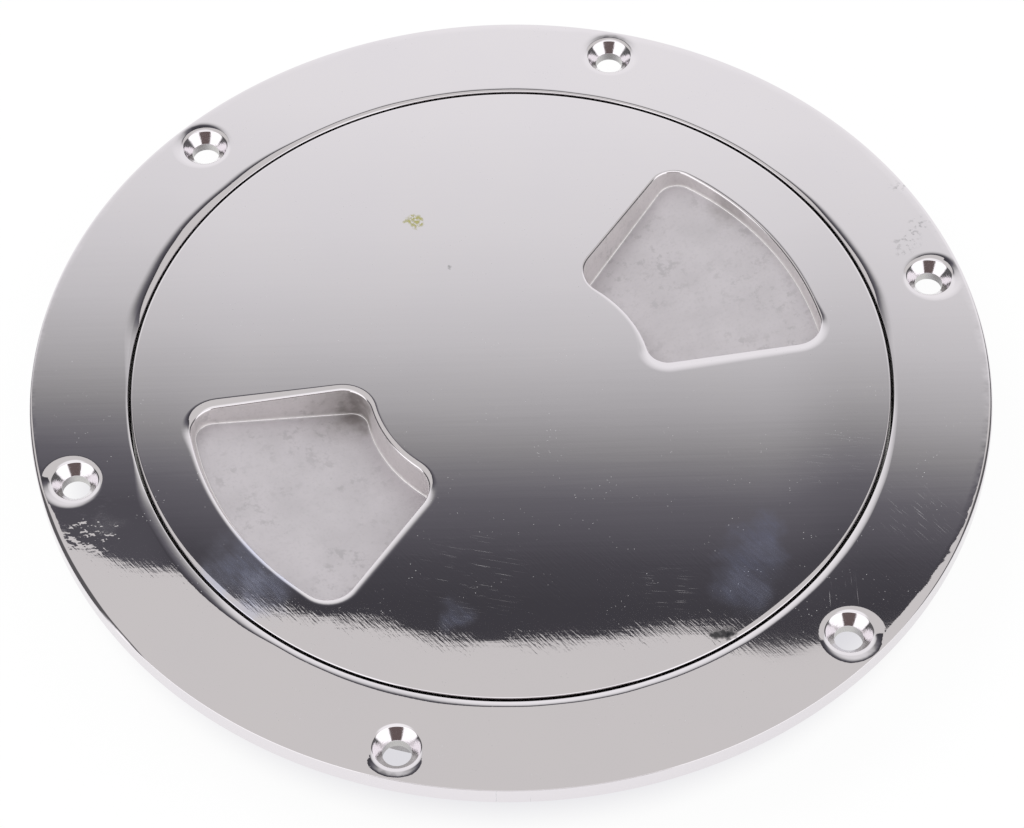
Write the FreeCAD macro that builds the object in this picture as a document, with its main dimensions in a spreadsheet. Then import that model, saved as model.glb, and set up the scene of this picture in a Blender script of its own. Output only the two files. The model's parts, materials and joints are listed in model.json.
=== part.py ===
import FreeCAD, Part
import math
import os

import Sketcher

# Screw-out deck inspection plate: a flush round lid that screws into a flanged deck ring and
# seals on a rubber ring under its rim. Millimetres and degrees. The origin is the centre of
# the flange's underside, where the ring sits on the deck, and +Z points up out of the deck.

# Driving sizes: name, value, what it is
SIZES = (
    ("flange_diameter", 203.2, "outside of the flange"),
    ("flange_thickness", 4.5, "flange above the deck"),
    ("flange_band", 20.7, "rim of the flange to the mouth that holds the lid, radially"),
    ("rim_round", 0.8, "polished top edge of the flange"),
    ("rim_foot_round", 0.4, "lower edge of the flange"),
    ("mouth_round", 1.2, "polished edge of the mouth beside the lid"),
    ("mouth_wall", 2.1, "wall of the collar beside the mouth"),
    ("collar_root_round", 1.0, "corner between the collar and the flange"),
    ("collar_foot_chamfer", 0.8, "lower edges of the collar"),
    ("collar_overhang", 4.2, "collar below the lid's skirt"),
    ("screw_count", 6, "screw holes in the flange"),
    ("screw_hole", 5.9, "clear hole for a screw"),
    ("screw_head", 9.9, "countersink at the flange's face"),
    ("screw_head_angle", 82, "included angle of the countersink"),
    ("screw_head_round", 1.2, "polished edge of the countersink"),
    ("screw_rim_land", 2.55, "rim of the flange to the countersink"),
    ("seat_width", 2.9, "ledge that the seal presses on"),
    ("thread_depth", 1.6, "screw thread, crest to root"),
    ("thread_pitch", 4, "rise in one turn"),
    ("thread_turns", 2.5, "turns to release the lid"),
    ("thread_clearance", 0.3, "radial play of the lid in the ring's bore"),
    ("seam_gap", 0.6, "open seam round the lid"),
    ("lid_rim_thickness", 3, "rim of the lid above the seal"),
    ("lid_edge_round", 0.8, "polished edge of the lid"),
    ("lid_plate_thickness", 3, "plain plate of the lid"),
    ("lid_clocking", 16.7, "first finger recess from the first screw hole"),
    ("neck_clearance", 0.6, "radial gap from the lid's neck to the thread's root"),
    ("skirt_wall", 4.1, "wall of the lid's skirt"),
    ("skirt_foot_chamfer", 0.8, "lower edges of the skirt"),
    ("seal_cord", 2.4, "rubber cord before it is pressed"),
    ("seal_pressed", 2, "height of the pressed cord"),
    ("seal_clearance", 0.1, "air round the pressed cord"),
    ("recess_count", 2, "finger recesses in the lid"),
    ("recess_rim_land", 11.8, "edge of the lid to a recess"),
    ("recess_hub", 30.1, "radius of the plain middle between the recesses"),
    ("recess_side_angle", 23.5, "side of a recess from its middle line"),
    ("recess_side_offset", 4.2, "side of a recess from the lid's centre"),
    ("recess_outer_corner", 5.3, "corner radius beside the rim"),
    ("recess_inner_corner", 4.3, "corner radius beside the middle"),
    ("recess_hub_depth", 7.8, "lid's face to the recess floor beside the middle"),
    ("recess_floor_slope", 6.9, "rise of the recess floor towards the rim"),
    ("recess_end_draw", 0.7, "lean of the walls beside the rim and the middle"),
    ("recess_side_draw", 1.4, "lean of the side walls"),
    ("recess_lip_round", 0.7, "polished lip of a recess"),
    ("recess_floor_round", 0.7, "corner between a recess wall and its floor"),
    ("recess_wall", 3, "metal round and under a recess"),
    ("recess_back_round", 1.2, "outer edge of the metal under a recess"),
)

# Heights and radii that follow from the driving sizes
TOP = "Sizes.flange_thickness"
FLANGE_RADIUS = "Sizes.flange_diameter / 2"
MOUTH_RADIUS = f"({FLANGE_RADIUS} - Sizes.flange_band)"
COLLAR_RADIUS = f"({MOUTH_RADIUS} + Sizes.mouth_wall)"
LID_RADIUS = f"({MOUTH_RADIUS} - Sizes.seam_gap)"
THREAD_RADIUS = f"({MOUTH_RADIUS} - Sizes.seat_width)"
BORE_RADIUS = f"({THREAD_RADIUS} - Sizes.thread_depth)"
NECK_RADIUS = f"({THREAD_RADIUS} - Sizes.neck_clearance)"
SKIRT_RADIUS = f"({BORE_RADIUS} - Sizes.thread_clearance)"
SKIRT_BORE_RADIUS = f"({SKIRT_RADIUS} - Sizes.skirt_wall)"
SCREW_RADIUS = f"({FLANGE_RADIUS} - Sizes.screw_rim_land - Sizes.screw_head / 2)"

RIM_UNDERSIDE = f"({TOP} - Sizes.lid_rim_thickness)"
SEAT = f"({RIM_UNDERSIDE} - Sizes.seal_pressed - 2 * Sizes.seal_clearance)"
LEAD_IN_FOOT = f"({SEAT} - Sizes.thread_depth)"
NECK_FOOT = f"({SEAT} - {NECK_RADIUS} + {SKIRT_RADIUS})"
SKIRT_FOOT = f"({LEAD_IN_FOOT} - Sizes.thread_turns * Sizes.thread_pitch)"
COLLAR_FOOT = f"({SKIRT_FOOT} - Sizes.collar_overhang)"
PLATE_UNDERSIDE = f"({TOP} - Sizes.lid_plate_thickness)"
RECESS_RADIUS = f"({LID_RADIUS} - Sizes.recess_rim_land)"

# The metal round a recess runs into the skirt, and its far corners end inside the skirt's wall
RECESS_METAL_RADIUS = f"({SKIRT_RADIUS} - Sizes.skirt_wall / 2)"
RECESS_METAL_CORNER = "(Sizes.skirt_wall / 4)"

# The recess floor slopes, so its height is given where its plane meets the lid's axis
SLOPE = "(Sizes.recess_floor_slope * 1 deg)"
FLOOR_AT_AXIS = f"({TOP} - Sizes.recess_hub_depth - Sizes.recess_hub * tan({SLOPE}))"
BACK_AT_AXIS = f"({FLOOR_AT_AXIS} - Sizes.recess_wall / cos({SLOPE}))"

# The pressed cord keeps the section area of the round one
SEAL_WIDTH_ADDED = "pi * (Sizes.seal_cord ^ 2 - Sizes.seal_pressed ^ 2) / (4 * Sizes.seal_pressed)"
SEAL_INNER_CENTRE = f"({NECK_RADIUS} + Sizes.seal_clearance + Sizes.seal_pressed / 2)"
SEAL_HEIGHT = f"({SEAT} + Sizes.seal_clearance + Sizes.seal_pressed / 2)"

CLOSE = 1e-4

# How a sketch numbers its axes and the points of a line or arc
START, END, CENTRE = range(1, 4)
HORIZONTAL_AXIS, VERTICAL_AXIS = range(-1, -3, -1)
ORIGIN_POINT = (HORIZONTAL_AXIS, START)


def add_sheet(document):
    """Put the driving sizes in a sheet, one row each."""
    sheet = document.addObject("Spreadsheet::Sheet", "Sizes")
    for row, (name, size, note) in enumerate(SIZES, start=1):
        sheet.set(f"A{row}", name)
        sheet.set(f"B{row}", str(size))
        sheet.setAlias(f"B{row}", name)
        sheet.set(f"C{row}", note)
    document.recompute()
    return sheet


def value(text):
    """Work out an expression of the sheet's sizes as a plain number."""
    result = FreeCAD.ActiveDocument.getObject("Sizes").evalExpression(text)
    return float(getattr(result, "Value", result))


def add_body(document, name):
    body = document.addObject("PartDesign::Body", name)
    body.Label = name
    return body


def origin_feature(body, role):
    return next(item for item in body.Origin.OriginFeatures if item.Role == role)


def add_sketch(body, plane, name, height="0", slope="0"):
    """Start a sketch on one of the body's own planes, raised and sloping up along its X axis."""
    sketch = body.newObject("Sketcher::SketchObject", name)
    sketch.AttachmentSupport = [(origin_feature(body, plane), "")]
    sketch.MapMode = "FlatFace"
    sketch.AttachmentOffset = FreeCAD.Placement(
        FreeCAD.Vector(0, 0, value(height)),
        FreeCAD.Rotation(FreeCAD.Vector(0, -1, 0), value(slope)),
    )
    sketch.setExpression("AttachmentOffset.Base.z", height)
    if slope != "0":
        sketch.setExpression("AttachmentOffset.Rotation.Angle", slope)
    return sketch


def dimension(sketch, kind, *geometry, size, unit=""):
    """Add a driving dimension that follows an expression."""
    number = value(size)
    start = math.radians(number) if unit else number
    index = sketch.addConstraint(Sketcher.Constraint(kind, *geometry, start))
    sketch.setExpression(f"Constraints[{index}]", f"({size}) * 1 {unit}" if unit else size)


def tie(sketch, kind, *geometry):
    sketch.addConstraint(Sketcher.Constraint(kind, *geometry))


def place_point(sketch, point, across, up):
    """Hold a point of the sketch at a distance across and up from the origin."""
    for kind, axis, size in (("DistanceX", VERTICAL_AXIS, across), ("DistanceY", HORIZONTAL_AXIS, up)):
        if size == "0":
            tie(sketch, "PointOnObject", *point, axis)
        else:
            dimension(sketch, kind, *ORIGIN_POINT, *point, size=size)


def draw_outline(sketch, corners):
    """Draw a closed outline of straight lines through corners given as (across, up)."""
    points = [FreeCAD.Vector(value(across), value(up), 0) for across, up in corners]
    count = len(points)
    for number, point in enumerate(points):
        sketch.addGeometry(Part.LineSegment(point, points[(number + 1) % count]))
    for number in range(count):
        tie(sketch, "Coincident", number, END, (number + 1) % count, START)
    for number, (across, up) in enumerate(corners):
        place_point(sketch, (number, START), across, up)


def revolve(body, sketch, name):
    feature = body.newObject("PartDesign::Revolution", name)
    feature.Profile = sketch
    feature.ReferenceAxis = (sketch, ["V_Axis"])
    feature.Angle = 360
    body.Document.recompute()
    return feature


def repeat_round(body, features, count, name):
    """Repeat features round the body's vertical axis."""
    pattern = body.newObject("PartDesign::PolarPattern", name)
    pattern.Originals = features
    pattern.Axis = (origin_feature(body, "Z_Axis"), [""])
    pattern.Angle = 360
    pattern.setExpression("Occurrences", count)
    body.Tip = pattern
    body.Document.recompute()
    return pattern


def circles(shape, radius, height):
    """Name the round edges of one radius at one height."""
    names = []
    for number, edge in enumerate(shape.Edges, start=1):
        curve = edge.Curve
        if not isinstance(curve, Part.Circle):
            continue
        if abs(curve.Radius - value(radius)) < CLOSE and abs(curve.Center.z - value(height)) < CLOSE:
            names.append(f"Edge{number}")
    return names


def recess_edges(shape, height, slope="0", within=LID_RADIUS):
    """Name the edges of the recesses in a plane given by its height at the axis and its slope."""
    share = 2 * math.pi / value("Sizes.recess_count")
    rise = math.tan(math.radians(value(slope)))
    names = []
    for number, edge in enumerate(shape.Edges, start=1):
        middle = (edge.FirstParameter + edge.LastParameter) / 2
        points = [edge.valueAt(place) for place in (edge.FirstParameter, middle, edge.LastParameter)]
        off = 0
        for point in points:
            turn = math.atan2(point.y, point.x)
            along = math.hypot(point.x, point.y) * math.cos(turn - share * round(turn / share))
            off = max(off, abs(point.z - value(height) - along * rise))
        if off < CLOSE and math.hypot(points[1].x, points[1].y) < value(within) - CLOSE:
            names.append(f"Edge{number}")
    return names


def dress(body, kind, name, edges, size):
    """Round or chamfer edges of the body's last feature."""
    base = body.Tip
    feature = body.newObject(f"PartDesign::{kind}", name)
    feature.Base = (base, edges)
    feature.setExpression("Radius" if kind == "Fillet" else "Size", size)
    body.Document.recompute()
    return feature


def draw_recess(sketch, outer, inner, offset, outer_corner, inner_corner):
    """Draw a finger recess: a ring sector with straight sides and round corners."""
    angle = math.radians(value("Sizes.recess_side_angle"))
    big, small, side = value(outer), value(inner), value(offset)
    far, near = value(outer_corner), value(inner_corner)
    centre = FreeCAD.Vector(0, 0, 0)
    up = FreeCAD.Vector(0, 0, 1)

    def along_side(distance, out, sign):
        """A point given along and out from the side's direction, on either half."""
        across = distance * math.cos(angle) - out * math.sin(angle)
        rise = distance * math.sin(angle) + out * math.cos(angle)
        return FreeCAD.Vector(across, sign * rise, 0)

    def round_arc(middle, first, last):
        """The arc about a middle that turns from first to last anticlockwise."""
        turn = [math.atan2(point.y - middle.y, point.x - middle.x) for point in (first, last)]
        if turn[1] < turn[0]:
            turn[1] += 2 * math.pi
        return Part.ArcOfCircle(Part.Circle(middle, up, (first - middle).Length), *turn)

    far_along = math.sqrt((big - far) ** 2 - (side - far) ** 2)
    near_along = math.sqrt((small + near) ** 2 - (side - near) ** 2)
    far_middle, near_middle = [], []
    far_side, near_side = [], []
    far_arc, near_arc = [], []
    for sign in (-1, 1):
        far_middle.append(along_side(far_along, side - far, sign))
        near_middle.append(along_side(near_along, side - near, sign))
        far_side.append(along_side(far_along, side, sign))
        near_side.append(along_side(near_along, side, sign))
        far_arc.append(far_middle[-1] * (big / (big - far)))
        near_arc.append(near_middle[-1] * (small / (small + near)))

    outer_arc = sketch.addGeometry(round_arc(centre, *far_arc))
    upper_far = sketch.addGeometry(round_arc(far_middle[1], far_arc[1], far_side[1]))
    upper_side = sketch.addGeometry(Part.LineSegment(far_side[1], near_side[1]))
    upper_near = sketch.addGeometry(round_arc(near_middle[1], near_side[1], near_arc[1]))
    inner_arc = sketch.addGeometry(round_arc(centre, *near_arc))
    lower_near = sketch.addGeometry(round_arc(near_middle[0], near_arc[0], near_side[0]))
    lower_side = sketch.addGeometry(Part.LineSegment(near_side[0], far_side[0]))
    lower_far = sketch.addGeometry(round_arc(far_middle[0], far_side[0], far_arc[0]))

    joins = (
        (outer_arc, END, upper_far, START),
        (upper_far, END, upper_side, START),
        (upper_side, END, upper_near, START),
        (upper_near, END, inner_arc, END),
        (inner_arc, START, lower_near, START),
        (lower_near, END, lower_side, START),
        (lower_side, END, lower_far, START),
        (lower_far, END, outer_arc, START),
    )
    for join in joins:
        tie(sketch, "Tangent", *join)
    tie(sketch, "Coincident", outer_arc, CENTRE, *ORIGIN_POINT)
    tie(sketch, "Coincident", inner_arc, CENTRE, *ORIGIN_POINT)
    dimension(sketch, "Radius", outer_arc, size=outer)
    dimension(sketch, "Radius", inner_arc, size=inner)
    for arc in (upper_far, lower_far):
        dimension(sketch, "Radius", arc, size=outer_corner)
    for arc in (upper_near, lower_near):
        dimension(sketch, "Radius", arc, size=inner_corner)
    dimension(sketch, "Angle", upper_side, size="Sizes.recess_side_angle - 180", unit="deg")
    dimension(sketch, "Angle", lower_side, size="0 - Sizes.recess_side_angle", unit="deg")
    for line in (upper_side, lower_side):
        dimension(sketch, "Distance", *ORIGIN_POINT, line, size=offset)


def loft_down(body, kind, upper, lower, name):
    """Loft a recess shape from its upper outline to its lower one."""
    feature = body.newObject(f"PartDesign::{kind}", name)
    feature.Profile = upper
    feature.Sections = [lower]
    feature.Ruled = True
    body.Document.recompute()
    return feature


def make_frame_ring(document):
    """Flange and collar, one casting: mouth, seal seat, threaded bore and screw holes."""
    body = add_body(document, "frame_ring")
    section = add_sketch(body, "XZ_Plane", "frame_ring_section")
    draw_outline(section, (
        (COLLAR_RADIUS, "0"),
        (FLANGE_RADIUS, "0"),
        (FLANGE_RADIUS, TOP),
        (MOUTH_RADIUS, TOP),
        (MOUTH_RADIUS, SEAT),
        (THREAD_RADIUS, SEAT),
        (BORE_RADIUS, LEAD_IN_FOOT),
        (BORE_RADIUS, COLLAR_FOOT),
        (COLLAR_RADIUS, COLLAR_FOOT),
    ))
    solid = revolve(body, section, "frame_ring_turned")
    before = solid.Shape.Volume

    spot = add_sketch(body, "XY_Plane", "screw_hole_spot", TOP)
    spot.addGeometry(Part.Circle(FreeCAD.Vector(value(SCREW_RADIUS), 0, 0),
                                 FreeCAD.Vector(0, 0, 1), value("Sizes.screw_hole") / 2))
    place_point(spot, (0, CENTRE), SCREW_RADIUS, "0")
    dimension(spot, "Diameter", 0, size="Sizes.screw_hole")
    document.recompute()
    hole = body.newObject("PartDesign::Hole", "screw_hole")
    hole.Profile = spot
    hole.ThreadType = "None"
    hole.DepthType = "ThroughAll"
    hole.HoleCutType = "Countersink"
    hole.HoleCutCustomValues = True
    hole.setExpression("Diameter", "Sizes.screw_hole")
    hole.setExpression("HoleCutDiameter", "Sizes.screw_head")
    hole.setExpression("HoleCutCountersinkAngle", "Sizes.screw_head_angle")
    document.recompute()
    repeat_round(body, [hole], "Sizes.screw_count", "screw_holes")
    if body.Tip.Shape.Volume >= before:
        raise RuntimeError("the screw holes cut nothing")

    shape = body.Tip.Shape
    dress(body, "Fillet", "screw_head_rounds",
          circles(shape, "Sizes.screw_head / 2", TOP), "Sizes.screw_head_round")
    shape = body.Tip.Shape
    dress(body, "Fillet", "rim_edge", circles(shape, FLANGE_RADIUS, TOP), "Sizes.rim_round")
    shape = body.Tip.Shape
    dress(body, "Fillet", "rim_foot_edge", circles(shape, FLANGE_RADIUS, "0"), "Sizes.rim_foot_round")
    shape = body.Tip.Shape
    dress(body, "Fillet", "mouth_edge", circles(shape, MOUTH_RADIUS, TOP), "Sizes.mouth_round")
    shape = body.Tip.Shape
    dress(body, "Fillet", "collar_root", circles(shape, COLLAR_RADIUS, "0"), "Sizes.collar_root_round")
    shape = body.Tip.Shape
    foot = circles(shape, COLLAR_RADIUS, COLLAR_FOOT) + circles(shape, BORE_RADIUS, COLLAR_FOOT)
    dress(body, "Chamfer", "collar_foot", foot, "Sizes.collar_foot_chamfer")
    return body


def make_lid(document):
    """Lid, one casting: flush plate, neck for the seal, screwed skirt and finger recesses."""
    body = add_body(document, "lid")
    section = add_sketch(body, "XZ_Plane", "lid_section")
    draw_outline(section, (
        ("0", TOP),
        (LID_RADIUS, TOP),
        (LID_RADIUS, RIM_UNDERSIDE),
        (NECK_RADIUS, RIM_UNDERSIDE),
        (NECK_RADIUS, SEAT),
        (SKIRT_RADIUS, NECK_FOOT),
        (SKIRT_RADIUS, SKIRT_FOOT),
        (SKIRT_BORE_RADIUS, SKIRT_FOOT),
        (SKIRT_BORE_RADIUS, PLATE_UNDERSIDE),
        ("0", PLATE_UNDERSIDE),
    ))
    revolve(body, section, "lid_turned")

    root = add_sketch(body, "XY_Plane", "recess_metal_root", PLATE_UNDERSIDE)
    draw_recess(
        root,
        outer=RECESS_METAL_RADIUS,
        inner="(Sizes.recess_hub - Sizes.recess_wall)",
        offset="(Sizes.recess_side_offset + Sizes.recess_wall)",
        outer_corner=RECESS_METAL_CORNER,
        inner_corner="(Sizes.recess_inner_corner + Sizes.recess_wall)",
    )
    back = add_sketch(body, "XY_Plane", "recess_metal_back", BACK_AT_AXIS, "Sizes.recess_floor_slope")
    draw_recess(
        back,
        outer=f"({RECESS_METAL_RADIUS} / cos({SLOPE}))",
        inner=f"((Sizes.recess_hub + Sizes.recess_end_draw - Sizes.recess_wall) / cos({SLOPE}))",
        offset="(Sizes.recess_side_offset - Sizes.recess_side_draw + Sizes.recess_wall)",
        outer_corner=RECESS_METAL_CORNER,
        inner_corner="(Sizes.recess_inner_corner - Sizes.recess_end_draw + Sizes.recess_wall)",
    )
    metal = loft_down(body, "AdditiveLoft", root, back, "recess_metal")
    repeat_round(body, [metal], "Sizes.recess_count", "recess_metals")
    before = body.Tip.Shape.Volume

    lip = add_sketch(body, "XY_Plane", "recess_lip", TOP)
    draw_recess(
        lip,
        outer=RECESS_RADIUS,
        inner="Sizes.recess_hub",
        offset="Sizes.recess_side_offset",
        outer_corner="Sizes.recess_outer_corner",
        inner_corner="Sizes.recess_inner_corner",
    )
    floor = add_sketch(body, "XY_Plane", "recess_floor", FLOOR_AT_AXIS, "Sizes.recess_floor_slope")
    draw_recess(
        floor,
        outer=f"(({RECESS_RADIUS} - Sizes.recess_end_draw) / cos({SLOPE}))",
        inner=f"((Sizes.recess_hub + Sizes.recess_end_draw) / cos({SLOPE}))",
        offset="(Sizes.recess_side_offset - Sizes.recess_side_draw)",
        outer_corner="(Sizes.recess_outer_corner - Sizes.recess_end_draw)",
        inner_corner="(Sizes.recess_inner_corner - Sizes.recess_end_draw)",
    )
    recess = loft_down(body, "SubtractiveLoft", lip, floor, "recess")
    repeat_round(body, [recess], "Sizes.recess_count", "recesses")
    if body.Tip.Shape.Volume >= before:
        raise RuntimeError("the recesses cut nothing")

    shape = body.Tip.Shape
    dress(body, "Fillet", "recess_lips", recess_edges(shape, TOP), "Sizes.recess_lip_round")
    shape = body.Tip.Shape
    edges = recess_edges(shape, FLOOR_AT_AXIS, "Sizes.recess_floor_slope")
    dress(body, "Fillet", "recess_floor_corners", edges, "Sizes.recess_floor_round")
    shape = body.Tip.Shape
    edges = recess_edges(shape, BACK_AT_AXIS, "Sizes.recess_floor_slope", SKIRT_BORE_RADIUS)
    dress(body, "Fillet", "recess_back_edges", edges, "Sizes.recess_back_round")
    shape = body.Tip.Shape
    dress(body, "Fillet", "lid_edge", circles(shape, LID_RADIUS, TOP), "Sizes.lid_edge_round")
    shape = body.Tip.Shape
    foot = circles(shape, SKIRT_RADIUS, SKIRT_FOOT) + circles(shape, SKIRT_BORE_RADIUS, SKIRT_FOOT)
    dress(body, "Chamfer", "skirt_foot", foot, "Sizes.skirt_foot_chamfer")

    body.Placement = FreeCAD.Placement(FreeCAD.Vector(0, 0, 0),
                                       FreeCAD.Rotation(FreeCAD.Vector(0, 0, 1), value("Sizes.lid_clocking")))
    body.setExpression("Placement.Rotation.Angle", "Sizes.lid_clocking * 1 deg")
    return body


def make_o_ring(document):
    """Rubber cord pressed flat between the lid's rim and the ring's seat."""
    body = add_body(document, "o_ring")
    section = add_sketch(body, "XZ_Plane", "o_ring_section")
    half = value("Sizes.seal_pressed") / 2
    inner = FreeCAD.Vector(value(SEAL_INNER_CENTRE), value(SEAL_HEIGHT), 0)
    outer = inner + FreeCAD.Vector(value(SEAL_WIDTH_ADDED), 0, 0)
    rise = FreeCAD.Vector(0, half, 0)
    up = FreeCAD.Vector(0, 0, 1)
    quarter = math.pi / 2
    outside = section.addGeometry(Part.ArcOfCircle(Part.Circle(outer, up, half), -quarter, quarter))
    top = section.addGeometry(Part.LineSegment(outer + rise, inner + rise))
    inside = section.addGeometry(Part.ArcOfCircle(Part.Circle(inner, up, half), quarter, 3 * quarter))
    foot = section.addGeometry(Part.LineSegment(inner - rise, outer - rise))
    ring = (outside, top, inside, foot)
    for first, second in zip(ring, ring[1:] + ring[:1]):
        tie(section, "Tangent", first, END, second, START)
    tie(section, "Equal", outside, inside)
    tie(section, "Horizontal", top)
    dimension(section, "Radius", outside, size="Sizes.seal_pressed / 2")
    place_point(section, (inside, CENTRE), SEAL_INNER_CENTRE, SEAL_HEIGHT)
    dimension(section, "DistanceX", inside, CENTRE, outside, CENTRE, size=SEAL_WIDTH_ADDED)
    revolve(body, section, "o_ring_turned")
    return body


def check(document, bodies):
    """Stop if a feature failed or a piece has no sound solid."""
    for item in document.Objects:
        if "Invalid" in item.State or "Error" in item.State:
            raise RuntimeError(f"{item.Name} failed: {item.State}")
    for body in bodies:
        shape = body.Shape
        if shape.isNull() or not shape.isValid() or len(shape.Solids) != 1:
            raise RuntimeError(f"{body.Label} is not one sound solid")


def main():
    document = FreeCAD.newDocument("DeckPlate")
    add_sheet(document)
    bodies = [make_frame_ring(document), make_lid(document), make_o_ring(document)]
    document.recompute()
    check(document, bodies)
    os.makedirs("parts", exist_ok=True)
    for body in bodies:
        body.Shape.exportStep(f"parts/{body.Label}.step")
        print(body.Label, round(body.Shape.Volume, 1), body.Shape.BoundBox)


main()
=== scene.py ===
import json
import math
from typing import NamedTuple

import bmesh
import bpy
from bpy.props import FloatProperty, FloatVectorProperty, IntProperty, PointerProperty
from mathutils import Matrix, Vector


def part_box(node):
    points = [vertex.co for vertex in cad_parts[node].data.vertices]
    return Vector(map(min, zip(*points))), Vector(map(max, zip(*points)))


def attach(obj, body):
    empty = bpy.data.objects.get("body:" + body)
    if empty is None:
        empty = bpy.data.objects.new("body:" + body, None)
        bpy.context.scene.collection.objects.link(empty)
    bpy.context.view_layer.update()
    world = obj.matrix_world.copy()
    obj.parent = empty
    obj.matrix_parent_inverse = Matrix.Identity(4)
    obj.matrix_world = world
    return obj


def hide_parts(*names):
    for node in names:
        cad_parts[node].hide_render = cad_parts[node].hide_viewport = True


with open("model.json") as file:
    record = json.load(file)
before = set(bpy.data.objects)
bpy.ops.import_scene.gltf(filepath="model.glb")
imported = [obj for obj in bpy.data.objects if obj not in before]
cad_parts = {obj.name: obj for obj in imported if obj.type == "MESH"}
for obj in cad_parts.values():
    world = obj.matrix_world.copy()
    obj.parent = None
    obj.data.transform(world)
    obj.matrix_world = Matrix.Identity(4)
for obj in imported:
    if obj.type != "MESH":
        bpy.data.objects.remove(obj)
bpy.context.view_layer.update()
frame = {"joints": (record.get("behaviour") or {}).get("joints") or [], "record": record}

# A screw-out deck inspection plate: a polished flush lid with two finger recesses, the flanged
# deck ring that it screws into, and the rubber seal under its rim. Metres, +Z up out of the deck.

bl_info = {
    "name": "Deck inspection plate",
    "version": (1, 0, 0),
    "blender": (4, 5, 0),
    "location": "View3D > Sidebar > Deck plate",
    "description": "Builds a flush screw-out deck inspection plate in polished cast steel",
    "category": "Add Mesh",
}

RING_LOW, RING_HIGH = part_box("frame_ring")
LID_LOW, LID_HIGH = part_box("lid")
SEAL_LOW, SEAL_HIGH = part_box("o_ring")
MOUNTS = {mount["name"]: mount for mount in frame["record"]["mounts"]}
JOINTS = {joint["name"]: joint for joint in frame["joints"]}

MM = 0.001
UP = Vector((0, 0, 1))
CENTRE = Vector((0, 0, 0))
FULL_TURN = 2 * math.pi
CLOSE = 1e-6

# Numbers of straight steps that round shapes are made of
RING_STEPS = 288
HOLE_STEPS = 72
THREAD_STEPS = 144
ROUND_STEPS = 8
BEVEL_STEPS = 7
# Steps of half a recess outline: rim, corner, side, corner, hub
OUTLINE_STEPS = (16, 12, 8, 12, 10)

# Height below a face where its polished edge has run into the wall
EDGE_LIP = 1 * MM

# Finishes, in the order of each piece's material slots: three of both castings, one more of the
# ring and three more of the lid
POLISHED, TURNED, CAST = range(3)
COUNTERSUNK = 3
# The lid's last slot is the recess floors, painted darker than the walls as shade
# The lid's slot after the recess walls is a painted highlight: a bright band round each recess floor
BLASTED, PAINTED_HIGHLIGHT, FLOOR_WITH_PAINTED_SHADE = 3, 4, 5


def length(name, description, size):
    """A size in metres that the user can set."""
    return FloatProperty(name=name, description=description, default=size, min=0, precision=5,
                         unit="LENGTH", subtype="DISTANCE")


def angle(name, description, degrees):
    return FloatProperty(name=name, description=description, default=math.radians(degrees),
                         unit="ROTATION", subtype="ANGLE")


def colour(name, description, shade):
    return FloatVectorProperty(name=name, description=description, default=shade, size=3,
                               min=0, max=1, subtype="COLOR")


class RingSizes(bpy.types.PropertyGroup):
    """Sizes of the deck ring."""

    flange_radius: length("Flange radius", "Outside of the flange", RING_HIGH.x)
    top: length("Flange thickness", "Flange above the deck", RING_HIGH.z)
    collar_depth: length("Collar depth", "Collar below the deck", -RING_LOW.z)
    collar_radius: length("Collar radius", "Outside of the collar",
                          MOUNTS["deck_cutout_collar"]["dims"]["r_mm"] * MM)
    mouth_radius: length("Mouth radius", "Mouth round the lid", 80.9 * MM)
    mouth_corner: length("Mouth corner", "Tight corner inside the mouth's bevel", 0.22 * MM)
    seat_height: length("Seal seat", "Seal seat below the flange's top", 5.2 * MM)
    bore_radius: length("Bore radius", "Bore at the root of its thread", 78 * MM)
    rim_foot_round: length("Rim foot rounding", "Lower edge of the flange", 0.4 * MM)
    collar_root_round: length("Collar root", "Corner between collar and flange", 1.0 * MM)
    foot_chamfer: length("Foot chamfer", "Lower edges of the collar", 0.8 * MM)
    screw_count: IntProperty(name="Screws", description="Screw holes in the flange",
                             default=MOUNTS["deck_screws"]["dims"]["count"], min=2, max=12)
    screw_circle: length("Screw circle", "Radius of the screw circle",
                         MOUNTS["deck_screws"]["dims"]["pcd_mm"] * MM / 2)
    hole_radius: length("Screw hole", "Radius of a screw hole",
                        MOUNTS["deck_screws"]["dims"]["hole_r_mm"] * MM)
    head_radius: length("Countersink", "Radius of a countersink", 4.95 * MM)
    head_angle: angle("Countersink angle", "Included angle of a countersink", 82)
    head_bevel: length("Countersink bevel", "Soft bevel round a countersink", 0.7 * MM)
    head_round: length("Countersink rounding", "Polished edge of a countersink", 0.6 * MM)


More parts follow.
